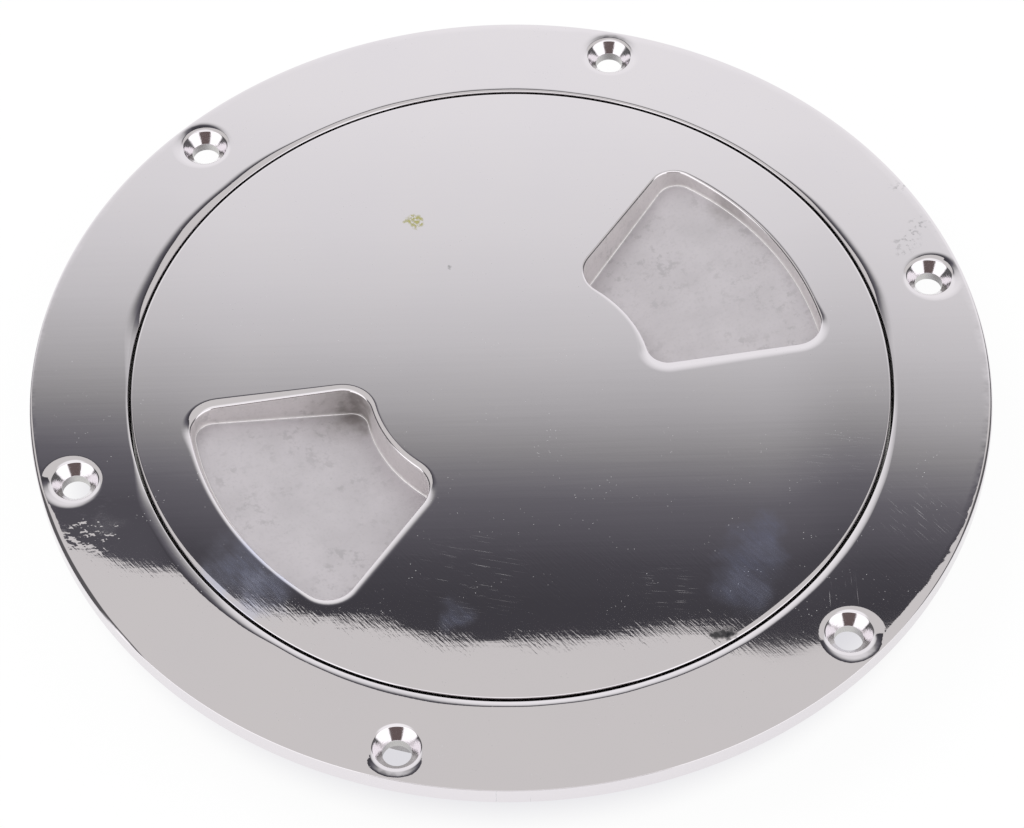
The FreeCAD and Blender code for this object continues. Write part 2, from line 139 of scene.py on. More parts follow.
class LidSizes(bpy.types.PropertyGroup):
    """Sizes of the lid."""

    top: length("Lid top", "Lid's face above the deck", LID_HIGH.z)
    skirt_depth: length("Skirt depth", "Skirt below the deck", -LID_LOW.z)
    radius: length("Lid radius", "Outside of the lid", 80.3 * MM)
    edge_round: length("Edge rounding", "Polished edge of the lid", 0.28 * MM)
    rim_thickness: length("Rim thickness", "Rim above the seal", 3 * MM)
    plate_thickness: length("Plate thickness", "Plain plate of the lid", 3 * MM)
    neck_radius: length("Neck radius", "Neck inside the seal", 77.4 * MM)
    skirt_radius: length("Skirt radius", "Skirt at the root of its thread", 76.1 * MM)
    skirt_wall: length("Skirt wall", "Wall of the skirt", 4.1 * MM)
    foot_chamfer: length("Foot chamfer", "Lower edges of the skirt", 0.8 * MM)
    clocking: angle("Clocking", "First finger recess from the first screw hole", 16.7)
    recess_count: IntProperty(name="Recesses", description="Finger recesses", default=2, min=1, max=4)
    recess_outer: length("Recess outer radius", "Recess wall beside the rim", 68.5 * MM)
    recess_hub: length("Hub radius", "Recess wall beside the middle", 30.1 * MM)
    recess_side: length("Recess side offset", "Recess side from the lid's centre", 4.2 * MM)
    recess_angle: angle("Recess angle", "Recess side from its middle line", 23.5)
    outer_corner: length("Outer corner", "Corner beside the rim", 5.3 * MM)
    inner_corner: length("Inner corner", "Corner beside the middle", 4.3 * MM)
    hub_depth: length("Recess depth", "Depth of the floor beside the middle", 7.8 * MM)
    floor_slope: angle("Floor slope", "Rise of the floor towards the rim", 6.9)
    end_draw: length("End draw", "Lean of the end walls", 0.7 * MM)
    side_draw: length("Side draw", "Lean of the side walls", 1.4 * MM)
    lip_round: length("Lip rounding", "Tight corner between a lip's bevel and the wall", 0.5 * MM)
    floor_round: length("Floor rounding", "Corner between wall and floor", 0.7 * MM)
    metal: length("Recess metal", "Metal round and under a recess", 3 * MM)
    back_round: length("Back rounding", "Outer edge of that metal", 1.2 * MM)


class ThreadSizes(bpy.types.PropertyGroup):
    """Sizes of the screw thread that holds the lid."""

    depth: length("Thread depth", "Crest to root", 1.6 * MM)
    crest: length("Crest width", "Flat crest of the thread", 0.9 * MM)
    flank: angle("Flank angle", "Lean of a flank", 30)
    sunk: length("Root overlap", "How far the ridge is rooted in its wall", 0.2 * MM)
    ring_turns: FloatProperty(name="Ring turns", description="Turns of thread in the ring", default=2.5)
    lid_turns: FloatProperty(name="Lid turns", description="Turns of thread on the lid", default=1.6)
    lid_start: angle("Lid thread's start", "Where the lid's thread starts, from the first hole", 180)
    first: length("Thread start", "Top of the ring's thread below the seal seat", 3.2 * MM)
    run_out: angle("Run-out", "Turn over which the thread fades at its ends", 14)


class PolishSizes(bpy.types.PropertyGroup):
    """How far hand polishing has rolled and leaned the flat faces."""

    mouth_wave: length("Mouth waviness", "How far the mouth's polished edge wanders", 0.12 * MM)
    rim_roll: length("Rim roll", "Soft shoulder on the flange's rim", 1.9 * MM)
    rim_slope: angle("Rim slope", "Steepest slope of that shoulder", 1.6)
    head_roll: length("Countersink roll", "Soft dish round a countersink", 1.3 * MM)
    head_slope: angle("Countersink slope", "Steepest slope of that dish", 3.5)
    head_shift: length("Countersink shift", "How far out from its hole a dish lies", 0.9 * MM)
    twist: angle("Flange twist", "Lean of the flange's face at its two sides", 0.25)
    front: angle("Front", "Direction away from the front, where hands polished most", 74.65)


class Finishes(bpy.types.PropertyGroup):
    """Colours of the finishes."""

    steel: colour("Polished steel", "Mirror polished cast steel", (0.79, 0.757, 0.785))
    cast: colour("Cast steel", "Cast and ground steel out of sight", (0.62, 0.61, 0.60))
    blasted: colour("Recess walls", "Blasted steel of the recess walls", (0.79, 0.75, 0.755))
    # Painted shade: the recess floors are the walls' blasted steel, painted darker
    floor: colour("Recess floors", "Blasted steel of the recess floors", (0.56, 0.53, 0.555))
    rubber: colour("Seal rubber", "Black rubber", (0.022, 0.022, 0.023))
    stain: colour("Stain", "Yellow-green stain on the lid", (0.50, 0.48, 0.13))


class StudioSettings(bpy.types.PropertyGroup):
    """Camera and light."""

    camera_place: FloatVectorProperty(name="Camera place", description="Where the camera stands",
                                      default=(-0.122588, -0.447187, 0.608695), size=3, precision=5,
                                      unit="LENGTH", subtype="TRANSLATION")
    camera_turn: angle("Camera azimuth", "Turn of the camera round the plate", -15.35)
    camera_rise: angle("Camera elevation", "Camera above the plate's plane", 53.088)
    camera_roll: angle("Camera roll", "Lean of the camera", -1.135)
    lens: FloatProperty(name="Lens", description="Focal length in millimetres", default=126.58)
    floor_size: length("Floor", "Width of the pale floor", 6.0)
    floor_colour: colour("Floor colour", "Pale floor", (0.96, 0.96, 0.96))
    plain_light: FloatProperty(name="Plain light", description="Even light from all round", default=0.66)


class DeckPlateSettings(bpy.types.PropertyGroup):
    """Everything that a user would change."""

    ring: PointerProperty(type=RingSizes)
    lid: PointerProperty(type=LidSizes)
    thread: PointerProperty(type=ThreadSizes)
    polish: PointerProperty(type=PolishSizes)
    finishes: PointerProperty(type=Finishes)
    studio: PointerProperty(type=StudioSettings)


# Modelling

def arc(middle, radius, start, end, steps=ROUND_STEPS):
    """Points of a round corner as (radius, height) pairs, between two directions in degrees."""
    turns = [math.radians(start + (end - start) * step / steps) for step in range(steps + 1)]
    return [(middle[0] + radius * math.cos(turn), middle[1] + radius * math.sin(turn)) for turn in turns]


def soft_edge(bevel, tilt, corner, wall_turn, polished_turn=math.pi / 4, growth=1):
    """Section of a hand polished edge, as (distance from its wall, drop) pairs.

    A bevel leans more and more, up to the tilt, and a corner then turns down into the wall. The
    corner's steps change where the polish ends in a recess. A growth of 1 is an even bend.
    """
    polished_turn = max(polished_turn, tilt + 0.1)
    start = corner * (math.sin(wall_turn) - math.sin(tilt)) + bevel
    places = [step / BEVEL_STEPS for step in range(BEVEL_STEPS + 1)]
    depth = bevel * math.tan(tilt) / (growth + 1)
    profile = [(start - bevel * place, -depth * place ** (growth + 1)) for place in places]
    middle = (profile[-1][0] + corner * math.sin(tilt), profile[-1][1] - corner * math.cos(tilt))
    stops = [90 + math.degrees(turn) for turn in (tilt, polished_turn, wall_turn)]
    for first, last in zip(stops, stops[1:]):
        profile += arc(middle, corner, first, last, ROUND_STEPS // 2)[1:]
    return profile


def smooth(share):
    """A share from 0 to 1, slow at both ends."""
    share = min(1, max(0, share))
    return share * share * (3 - 2 * share)


def rubbed(rows, turn):
    """The values of a table's rows at a direction, smooth between one row's direction and the next."""
    degrees = math.degrees(turn) % 360
    following = next((number for number, row in enumerate(rows) if row[0] > degrees), 0)
    before, after = rows[following - 1], rows[following]
    share = smooth((degrees - before[0]) % 360 / ((after[0] - before[0]) % 360))
    return [first + (last - first) * share for first, last in zip(before[1:], after[1:])]


def round_loops(profile_at):
    """Loops round the plate's axis, one for each point of a profile that changes with direction."""
    turns = [FULL_TURN * step / RING_STEPS for step in range(RING_STEPS)]
    levels = zip(*[profile_at(turn) for turn in turns])
    return [[Vector((radius * math.cos(turn), radius * math.sin(turn), height))
             for turn, (radius, height) in zip(turns, level)] for level in levels]


def finish_new(bm, old_faces, finish):
    for face in set(bm.faces) - old_faces:
        face.material_index = finish
        face.smooth = True


def add_part(bm, part, finish):
    """Move the faces of one part into a piece's mesh and give them their finish."""
    old_faces = set(bm.faces)
    mesh = bpy.data.meshes.new("part")
    part.to_mesh(mesh)
    part.free()
    bm.from_mesh(mesh)
    bpy.data.meshes.remove(mesh)
    finish_new(bm, old_faces, finish)


def turn_profile(bm, profile, finish, centre=CENTRE, steps=RING_STEPS, closed=False):
    """Turn a chain of (radius, height) points all the way round an upright line."""
    part = bmesh.new()
    verts = [part.verts.new(centre + Vector((radius, 0, height))) for radius, height in profile]
    pairs = list(zip(verts, verts[1:]))
    if closed:
        pairs.append((verts[-1], verts[0]))
    edges = [part.edges.new(pair) for pair in pairs]
    bmesh.ops.spin(part, geom=verts + edges, cent=centre, axis=UP, angle=FULL_TURN, steps=steps,
                   use_merge=True)
    add_part(bm, part, finish)


def merge_close(bm):
    bmesh.ops.remove_doubles(bm, verts=bm.verts[:], dist=CLOSE)


def fill_flat(bm, height, finish):
    """Close the flat between the open edges that lie at one height, holes left open."""
    old_faces = set(bm.faces)
    edges = [edge for edge in bm.edges
             if edge.is_boundary and all(abs(vert.co.z - height) < CLOSE for vert in edge.verts)]
    bmesh.ops.triangle_fill(bm, use_beauty=True, use_dissolve=False, edges=edges, normal=UP)
    finish_new(bm, old_faces, finish)


def stack_loops(bm, loops):
    """Join closed loops, each given with the finish of the band that leads to it.

    Returns the edges of the last loop.
    """
    previous = None
    for points, finish in loops:
        old_faces = set(bm.faces)
        verts = [bm.verts.new(point) for point in points]
        edges = [bm.edges.new(pair) for pair in zip(verts, verts[1:] + verts[:1])]
        if previous:
            bmesh.ops.bridge_loops(bm, edges=previous + edges)
            finish_new(bm, old_faces, finish)
        previous = edges
    return previous


def close_loop(bm, edges, finish):
    """Put one flat face across a closed loop of edges."""
    old_faces = set(bm.faces)
    bmesh.ops.edgeloop_fill(bm, edges=edges)
    finish_new(bm, old_faces, finish)


def wind_thread(bm, thread, wall, crest, low, start, turns, pitch, finish):
    """Wind a ridge round a wall, rooted in it, that fades out at both of its ends."""
    part = bmesh.new()
    outwards = 1 if crest > wall else -1
    root = wall - outwards * thread.sunk
    half_crest = thread.crest / 2
    half_root = half_crest + (thread.depth + thread.sunk) * math.tan(thread.flank)
    corner = thread.crest / 6
    section = (
        (root, -half_root),
        (crest - outwards * corner, -half_crest - corner * math.tan(thread.flank)),
        (crest, -half_crest + corner),
        (crest, half_crest - corner),
        (crest - outwards * corner, half_crest + corner * math.tan(thread.flank)),
        (root, half_root),
    )
    aside = Vector((math.cos(start), math.sin(start), 0))
    verts = [part.verts.new(aside * radius + UP * (low + height)) for radius, height in section]
    face = part.faces.new(verts)
    steps = round(turns * THREAD_STEPS)
    rise = pitch * turns
    bmesh.ops.spin(part, geom=[face, *face.edges, *verts], cent=CENTRE, axis=UP, angle=turns * FULL_TURN,
                   steps=steps, dvec=UP * (rise / steps))
    run_out = pitch * thread.run_out / FULL_TURN
    for vert in part.verts:
        radius = math.hypot(vert.co.x, vert.co.y)
        turn = (math.atan2(vert.co.y, vert.co.x) - start) % FULL_TURN / FULL_TURN
        along = (vert.co.z - low) / pitch
        turned = turn + round(along - turn)
        left = max(0, min(turned, turns - turned)) * pitch / run_out
        if left < 1:
            sunk = (1 - left) ** 2 * thread.depth
            vert.co.xy *= (radius - outwards * min(sunk, abs(radius - root))) / radius
    add_part(bm, part, finish)


# Materials

class Value:
    """A socket of a recipe, on which arithmetic adds Math nodes."""

    def __init__(self, recipe, socket):
        self.recipe = recipe
        self.socket = socket

    def __add__(self, other):
        return self.recipe.math("ADD", self, other)

    def __sub__(self, other):
        return self.recipe.math("SUBTRACT", self, other)

    def __rsub__(self, other):
        return self.recipe.math("SUBTRACT", other, self)

    def __mul__(self, other):
        return self.recipe.math("MULTIPLY", self, other)

    def __truediv__(self, other):
        return self.recipe.math("DIVIDE", self, other)

    def __rtruediv__(self, other):
        return self.recipe.math("DIVIDE", other, self)

    __radd__ = __add__
    __rmul__ = __mul__


class Recipe:
    """The nodes of one material or of the world."""

    def __init__(self, tree):
        self.tree = tree
        tree.nodes.clear()

    def add(self, kind, settings, inputs, output=0):
        """Add a node, its settings first and then the values or links of its sockets."""
        node = self.tree.nodes.new("ShaderNode" + kind)
        for name, setting in settings.items():
            if name == "stops":
                self.set_stops(node.color_ramp, setting)
            else:
                setattr(node, name, setting)
        for name, value in inputs.items():
            if isinstance(value, Value):
                self.tree.links.new(value.socket, node.inputs[name])
            else:
                node.inputs[name].default_value = value
        return Value(self, node.outputs[output]) if node.outputs else None

    def set_stops(self, ramp, stops):
        while len(ramp.elements) < len(stops):
            ramp.elements.new(1)
        for element, (position, shade) in zip(ramp.elements, stops):
            element.position = position
            element.color = (shade, shade, shade, 1)

    def math(self, operation, *values):
        return self.add("Math", {"operation": operation}, dict(enumerate(values)))

    def least(self, first, second):
        return self.math("MINIMUM", first, second)

    def most(self, first, second):
        return self.math("MAXIMUM", first, second)

    def rise(self, value, low, high):
        """0 where a value is at low, 1 where it is at high, smooth between."""
        return self.add("MapRange", {"interpolation_type": "SMOOTHSTEP"},
                        {"Value": value, "From Min": low, "From Max": high})

    def mix(self, share, first, second):
        """Mix two colours."""
        shades = [shade if isinstance(shade, Value) else (*shade, 1) for shade in (first, second)]
        return self.add("Mix", {"data_type": "RGBA"}, {0: share, 6: shades[0], 7: shades[1]}, 2)

    def vector(self, operation, *vectors):
        return self.add("VectorMath", {"operation": operation}, dict(enumerate(vectors)))

    def distance(self, first, second):
        return self.add("VectorMath", {"operation": "DISTANCE"}, {0: first, 1: second}, "Value")

    def parts(self, vector):
        """The three numbers of a vector."""
        whole = self.add("SeparateXYZ", {}, {"Vector": vector}, "X")
        return [Value(self, whole.socket.node.outputs[axis]) for axis in "XYZ"]

    def from_axis(self, place):
        """How far a place lies from the plate's axis."""
        return self.add("VectorMath", {"operation": "LENGTH"},
                        {0: self.vector("MULTIPLY", place, (1, 1, 0))}, "Value")

    def turned(self, x, y, turn):
        """How far a place lies along a direction and across it."""
        return x * math.cos(turn) + y * math.sin(turn), y * math.cos(turn) - x * math.sin(turn)

    def noise(self, place, size, detail=2, roughness=0.5, distortion=0):
        """Cloudy noise from 0 to 1, with blotches of a size in metres."""
        return self.add("TexNoise", {}, {"Vector": place, "Scale": 1 / size, "Detail": detail,
                                         "Roughness": roughness, "Distortion": distortion}, "Fac")

    def strokes(self, place, direction, long, thin, detail=2):
        """Noise drawn out along a direction in the plate's plane."""
        turned = self.add("Mapping", {"vector_type": "TEXTURE"},
                          {"Vector": place, "Rotation": (0, 0, math.radians(direction)),
                           "Scale": (long, thin, thin)})
        return self.add("TexNoise", {}, {"Vector": turned, "Scale": 1, "Detail": detail}, "Fac")

    def spot(self, place, x, y, radius, soft):
        """A round mark seen from above, given in millimetres: 1 inside it, 0 outside."""
        level = self.vector("MULTIPLY", place, (1, 1, 0))
        far = self.distance(level, (x * MM, y * MM, 0))
        return 1 - self.rise(far, (radius - soft) * MM, (radius + soft) * MM)

    def spots(self, place, rows, spread):
        """Round marks in rows of x, y and radius, each with what else its row says."""
        for x, y, radius, *rest in rows:
            yield self.spot(place, x, y, radius, radius * spread), *rest

    def ragged(self, place, amount, size):
        """A place moved about by noise, for marks with ragged edges."""
        cloud = self.add("TexNoise", {}, {"Vector": place, "Scale": 1 / size, "Detail": 3}, "Color")
        offset = self.vector("SUBTRACT", cloud, (0.5, 0.5, 0.5))
        return self.vector("MULTIPLY_ADD", offset, (amount, amount, 0), place)

    def metal(self, shade, roughness, height, metallic=1):
        """A metal whose height in metres gives the bump."""
        bump = self.add("Bump", {}, {"Strength": 1, "Distance": 1, "Height": height})
        surface = self.add("BsdfPrincipled", {}, {"Base Color": shade, "Metallic": metallic,
                                                  "Roughness": roughness, "Normal": bump})
        self.add("OutputMaterial", {}, {"Surface": surface})


# Colours of what lies on the steel or has worn into it, and of the shade painted in the recesses
DUST = (0.7, 0.7, 0.72)
TICK = (0.3, 0.3, 0.3)
SMUDGE = (0.03, 0.03, 0.035)
FILM = (0.66, 0.68, 0.85)
PALE_FILM = (0.7, 0.69, 0.72)
SCUFF = (0.25, 0.25, 0.26)
SCRATCH = (0.7, 0.7, 0.73)
BRIGHT_SCRATCH = (0.75, 0.75, 0.78)
# Painted shade in the recesses, at their corners and walls
PAINTED_CORNER_SHADE = (0.2, 0.175, 0.165)
BLOOM = (0.07, 0.07, 0.072)

# Marks: x, y and radius in millimetres, and then the haze of a film on the lid, the direction of
# scratches in degrees, or how strong the mark is. The smudges on the lid's rim are of one size
LID_FILMS = ((-66.5, -32.0, 7, 0.1), (-63, -38, 5, 0.07), (33.0, -60.5, 5.5, 0.05),
             (29, -66, 4.5, 0.05), (37, -54, 4, 0.05), (-28, -54, 3, 0.05))
LID_SCRATCHES = ((60, -37.5, 8, -25), (15.5, -60.5, 5, -20), (-22, -46, 9, -28))
RIM_SMUDGES = ((21.2, -74.4), (22.9, -74.9), (24.2, -75.2))
FLANGE_SCUFFS = ((97.5, 15.1, 1.6, 0.35), (92.1, 9.9, 2.2, 0.35), (95, 12.5, 1.6, 0.35),
                 (96.5, 26, 1.4, 0.35))
FLANGE_FILMS = ((-89.9, -13.0, 2.5, 0.3), (-47.1, 62.4, 2, 0.5))
FLANGE_SCRATCHES = ((70.5, -57, 7, -65), (48, -72, 4, -105))
# Spots of painted shade in the recesses, at their corners and walls, each with how dark it is
RECESS_PAINTED_CORNER_SHADE = ((-32.6, 4.8, 3.2, 0.65), (-37.5, 4.5, 5, 0.25), (61, 33, 4, 0.35))


def new_material(name):
    """A material, its recipe and the places on the piece that wears it."""
    material = bpy.data.materials.new(name)
    material.use_nodes = True
    recipe = Recipe(material.node_tree)
    return material, recipe, recipe.add("TexCoord", {}, {}, "Object")


def roll_height(recipe, into, width, slope):
    """Height of a soft shoulder, by the distance into it: it bends down to a slope and keeps it."""
    inside = recipe.most(into, 0)
    bent = recipe.least(inside, width)
    return (bent * bent / (2 * width) + (inside - bent)) * -math.tan(slope)


def flange_roll(recipe, place, settings):
    """Twist of the flange's face, soft shoulder along its rim and soft dishes round its holes."""
    ring, polish = settings.ring, settings.polish
    x, y = recipe.parts(place)[:2]
    along, across = recipe.turned(x, y, polish.front)
    height = along * across * (math.tan(polish.twist) / ring.flange_radius)

    radius = recipe.from_axis(place)
    rim_start = ring.flange_radius - polish.rim_roll
    uneven = (recipe.noise(place, 0.007, 3) - 0.5) * 1.6 * MM + across * -0.004
    height = height + roll_height(recipe, radius - rim_start + uneven, polish.rim_roll, polish.rim_slope)
    share = FULL_TURN / ring.screw_count
    turn = recipe.math("ARCTAN2", y, x) / share
    folded = (turn - recipe.math("ROUND", turn)) * share
    beside = radius * recipe.math("SINE", folded)
    out = radius * recipe.math("COSINE", folded) - (ring.screw_circle + polish.head_shift)
    from_hole = recipe.math("SQRT", beside * beside + out * out)
    reach = ring.head_radius + ring.head_bevel + polish.head_roll
    return height + roll_height(recipe, reach - from_hole, polish.head_roll, polish.head_slope)


class Skin:
    """What changes over a polished face: colour, roughness, height and the share of bare metal."""

    def __init__(self, recipe, shade, roughness, height):
        self.recipe = recipe
        self.shade = shade
        self.roughness = roughness
        self.height = height
        self.bare = 1

    def cover(self, share, shade, roughness=0, haze=0):
        """Cover a share of the face with another colour, rougher, and with a haze over the mirror."""
        self.shade = self.recipe.mix(share, self.shade, shade)
        self.roughness = self.roughness + share * roughness
        self.bare = self.bare - share * haze


def polish_marks(recipe, place, polish):
    """Height of what polishing by hand leaves on a mirror: faint waves and fine strokes."""
    height = (recipe.noise(place, 0.05, 1) - 0.5) * 1.2e-5
    height = height + (recipe.noise(place, 0.009, 2) - 0.5) * 5e-7
    height = height + (recipe.strokes(place, -15, 0.03, 0.0014) - 0.5) * 6e-7
    x, y = recipe.parts(place)[:2]
    along = recipe.turned(x, y, polish.front)[0]
    front = 1.1 - recipe.rise(along, -54 * MM, -36 * MM)
    patches = recipe.rise(recipe.noise(place, 0.012), 0.2, 0.55) * front
    for direction, strength in ((-66, 1.1e-6), (-50, 0.3e-6)):
        lines = recipe.strokes(place, direction, 0.0035, 0.0004)
        height = height + (lines - 0.5) * patches * strength
    return height


def polished_steel(name, settings, marks):
    """Mirror polished cast steel with polishing strokes, dust and the marks of handling."""
    material, recipe, place = new_material(name)
    faint = recipe.noise(place, 0.02, 3)
    shade = recipe.mix(recipe.rise(faint, 0.3, 0.8) * 0.3, settings.finishes.steel,
                       (0.76, 0.73, 0.775))
    roughness = 0.012 + recipe.rise(recipe.noise(place, 0.03, 4), 0.5, 0.85) * 0.02
    skin = Skin(recipe, shade, roughness, polish_marks(recipe, place, settings.polish))
    cells = recipe.add("TexVoronoi", {"voronoi_dimensions": "2D"}, {"Vector": place, "Scale": 560},
                       "Distance")
    crowd = recipe.rise(recipe.noise(place, 0.006, 3), 0.54, 0.7)
    skin.cover((1 - recipe.rise(cells, 0.02, 0.06)) * crowd, DUST, 0.4, 0.4)
    marks(recipe, place, settings, skin)
    recipe.metal(skin.shade, skin.roughness, skin.height, skin.bare)
    return material


def scratch(recipe, place, skin, patches, spread, strength, shade, haze):
    """Hair scratches, in patches that each have a direction."""
    for patch, direction in recipe.spots(place, patches, spread):
        lines = recipe.rise(recipe.strokes(place, direction, 0.007, 0.00016, 1), 0.66, 0.74)
        skin.cover(lines * patch * strength, shade, 0.2, haze)


def lid_marks(recipe, place, settings, skin):
    """The stain, smudges, bluish film and hair scratches on the lid."""
    blot = recipe.spot(recipe.ragged(place, 0.005, 0.0022), -8.1, 47.0, 1.8, 0.7)
    speckle = recipe.rise(recipe.noise(place, 0.0009, 2), 0.38, 0.55)
    skin.cover(blot * speckle * 0.85, settings.finishes.stain, 0.4)
    tick = recipe.spot(recipe.ragged(place, 0.002, 0.001), -4.4, 32.6, 0.45, 0.3)
    skin.cover(tick * 0.6, TICK)
    hairy = recipe.ragged(place, 0.003, 0.0012)
    for x, y in RIM_SMUDGES:
        skin.cover(recipe.spot(hairy, x, y, 1.1, 0.5) * 0.9, SMUDGE, 0.2)
    wiped = recipe.rise(recipe.strokes(place, -66, 0.004, 0.0006, 3), 0.3, 0.7) * 0.4 + 0.6
    smeared = recipe.ragged(place, 0.012, 0.006)
    for film, haze in recipe.spots(smeared, LID_FILMS, 0.7):
        skin.cover(film * wiped, FILM, 0.015, haze)
    scratch(recipe, place, skin, LID_SCRATCHES, 0.8, 0.5, SCRATCH, 0.3)


def flange_marks(recipe, place, settings, skin):
    """The flange's lean and shoulders, and the scuffs, smudges and scratches on it."""
    skin.height = skin.height + flange_roll(recipe, place, settings)
    crumbs = recipe.rise(recipe.noise(place, 0.0011, 3), 0.5, 0.62)
    crumbled = recipe.ragged(place, 0.006, 0.002)
    for scuff, strength in recipe.spots(crumbled, FLANGE_SCUFFS, 0.7):
        skin.cover(scuff * crumbs * strength, SCUFF, 0.4)
    smeared = recipe.ragged(place, 0.012, 0.005)
    for film, strength in recipe.spots(smeared, FLANGE_FILMS, 0.8):
        skin.cover(film * strength, PALE_FILM, 0.06, 0.08)
    scratch(recipe, place, skin, FLANGE_SCRATCHES, 0.7, 0.6, BRIGHT_SCRATCH, 0.35)
    rough_patch = recipe.spot(recipe.ragged(place, 0.01, 0.004), -93, -12, 5, 3.5)
    skin.height = skin.height + rough_patch * (recipe.noise(place, 0.0022, 2) - 0.5) * 1.6e-5


def turned_steel(settings):
    """Turned steel: fine rings left by the tool, round the plate's axis."""
    material, recipe, place = new_material("turned_steel")
    z = recipe.parts(place)[2]
    rings = recipe.add("CombineXYZ", {}, {"X": recipe.from_axis(place), "Y": z})
    lines = recipe.add("TexNoise", {}, {"Vector": rings, "Scale": 2600, "Detail": 2}, "Fac")
    uneven = recipe.noise(place, 0.012, 3)
    shade = recipe.mix(recipe.rise(uneven, 0.3, 0.8) * 0.5, settings.finishes.cast, (0.5, 0.49, 0.485))
    roughness = 0.24 + lines * 0.1 + uneven * 0.08
    recipe.metal(shade, roughness, (lines - 0.5) * 5e-6)
    return material


def cast_steel(settings):
    """Cast steel, ground and left: grainy, with shallow pits and dull patches."""
    material, recipe, place = new_material("cast_steel")
    grain = recipe.noise(place, 0.0009, 3)
    clouds = recipe.noise(place, 0.014, 4)
    pits = recipe.rise(recipe.noise(place, 0.003, 2), 0.66, 0.78)
    shade = recipe.mix(recipe.rise(clouds, 0.3, 0.75) * 0.6, settings.finishes.cast, (0.47, 0.455, 0.44))
    roughness = 0.4 + grain * 0.12 + pits * 0.1
    recipe.metal(shade, roughness, (grain - 0.5) * 3e-5 + (clouds - 0.5) * 1.2e-4 - pits * 4e-5)
    return material


def countersunk_steel(settings):
    """Countersunk steel: bright, with the chatter rings of the cutter."""
    material, recipe, place = new_material("countersunk_steel")
    z = recipe.parts(place)[2]
    rings = recipe.noise(recipe.add("CombineXYZ", {}, {"Z": z}), 0.0003, 2)
    uneven = recipe.noise(place, 0.0016, 2)
    roughness = 0.08 + uneven * 0.1
    recipe.metal((*settings.finishes.steel, 1), roughness, rings * 2e-5 + uneven * 3.2e-5)
    return material


def blasted_steel(name, base):
    """Blasted cast steel inside the finger recesses: satin, mottled and a little stained, with painted
    shade in spots at their corners and walls.
    """
    material, recipe, place = new_material(name)
    grain = recipe.noise(place, 0.0007, 3)
    clouds = recipe.noise(place, 0.011, 5, 0.6)
    blots = recipe.rise(recipe.noise(place, 0.0026, 5, 0.7), 0.52, 0.64)
    patches = recipe.rise(recipe.noise(place, 0.018), 0.4, 0.6)
    darker = [part * 0.78 for part in base]
    shade = recipe.mix(recipe.rise(clouds, 0.35, 0.7) * 0.4, base, darker)
    shade = recipe.mix(blots * patches * 0.32, shade, [part * 0.45 for part in base])
    shade = recipe.mix(recipe.rise(grain, 0.5, 0.7) * 0.25, shade, darker)
    # Painted shade: dark spots with ragged edges in the recesses, at their corners and walls
    smeared = recipe.ragged(place, 0.009, 0.003)
    for painted_corner_shade, strength in recipe.spots(smeared, RECESS_PAINTED_CORNER_SHADE, 0.8):
        shade = recipe.mix(painted_corner_shade * strength, shade, PAINTED_CORNER_SHADE)
    roughness = 0.46 + grain * 0.1
    recipe.metal(shade, roughness, (grain - 0.5) * 2.2e-5 + (clouds - 0.5) * 1e-4, 0.45)
    return material


def painted_highlight_steel():
    """A painted highlight: the bright line round a recess floor, on one band where its corner turns into
    the floor.
    """
    material, recipe, place = new_material("painted_highlight_steel")
    grain = recipe.noise(place, 0.0009, 3)
    shade = recipe.mix(recipe.rise(grain, 0.45, 0.7), (0.98, 0.96, 0.96), (0.8, 0.78, 0.78))
    recipe.metal(shade, 0.3 + grain * 0.1, (grain - 0.5) * 1e-5, 0.3)
    return material


def seal_rubber(settings):
    """Black rubber, faintly mottled, with a dusty bloom."""
    material, recipe, place = new_material("seal_rubber")
    grain = recipe.noise(place, 0.0006, 3)
    bloom = recipe.rise(recipe.noise(place, 0.009, 4), 0.45, 0.8)
    shade = recipe.mix(bloom * 0.35, settings.finishes.rubber, BLOOM)
    recipe.metal(shade, 0.55 + grain * 0.2, (grain - 0.5) * 1.5e-5, 0)
    return material


def make_piece(name, bm, materials, body, node):
    """Finish a mesh as a piece that stands for a node and moves with its body."""
    merge_close(bm)
    bmesh.ops.recalc_face_normals(bm, faces=bm.faces[:])
    mesh = bpy.data.meshes.new(name)
    bm.to_mesh(mesh)
    bm.free()
    mesh.set_sharp_from_angle(angle=math.radians(32))
    for material in materials:
        mesh.materials.append(material)
    piece = bpy.data.objects.new(name, mesh)
    bpy.context.scene.collection.objects.link(piece)
    shading = piece.modifiers.new("Flat faces stay flat", "WEIGHTED_NORMAL")
    shading.mode = "FACE_AREA"
    shading.weight = 100
    shading.keep_sharp = True
    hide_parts(node)
    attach(piece, body)


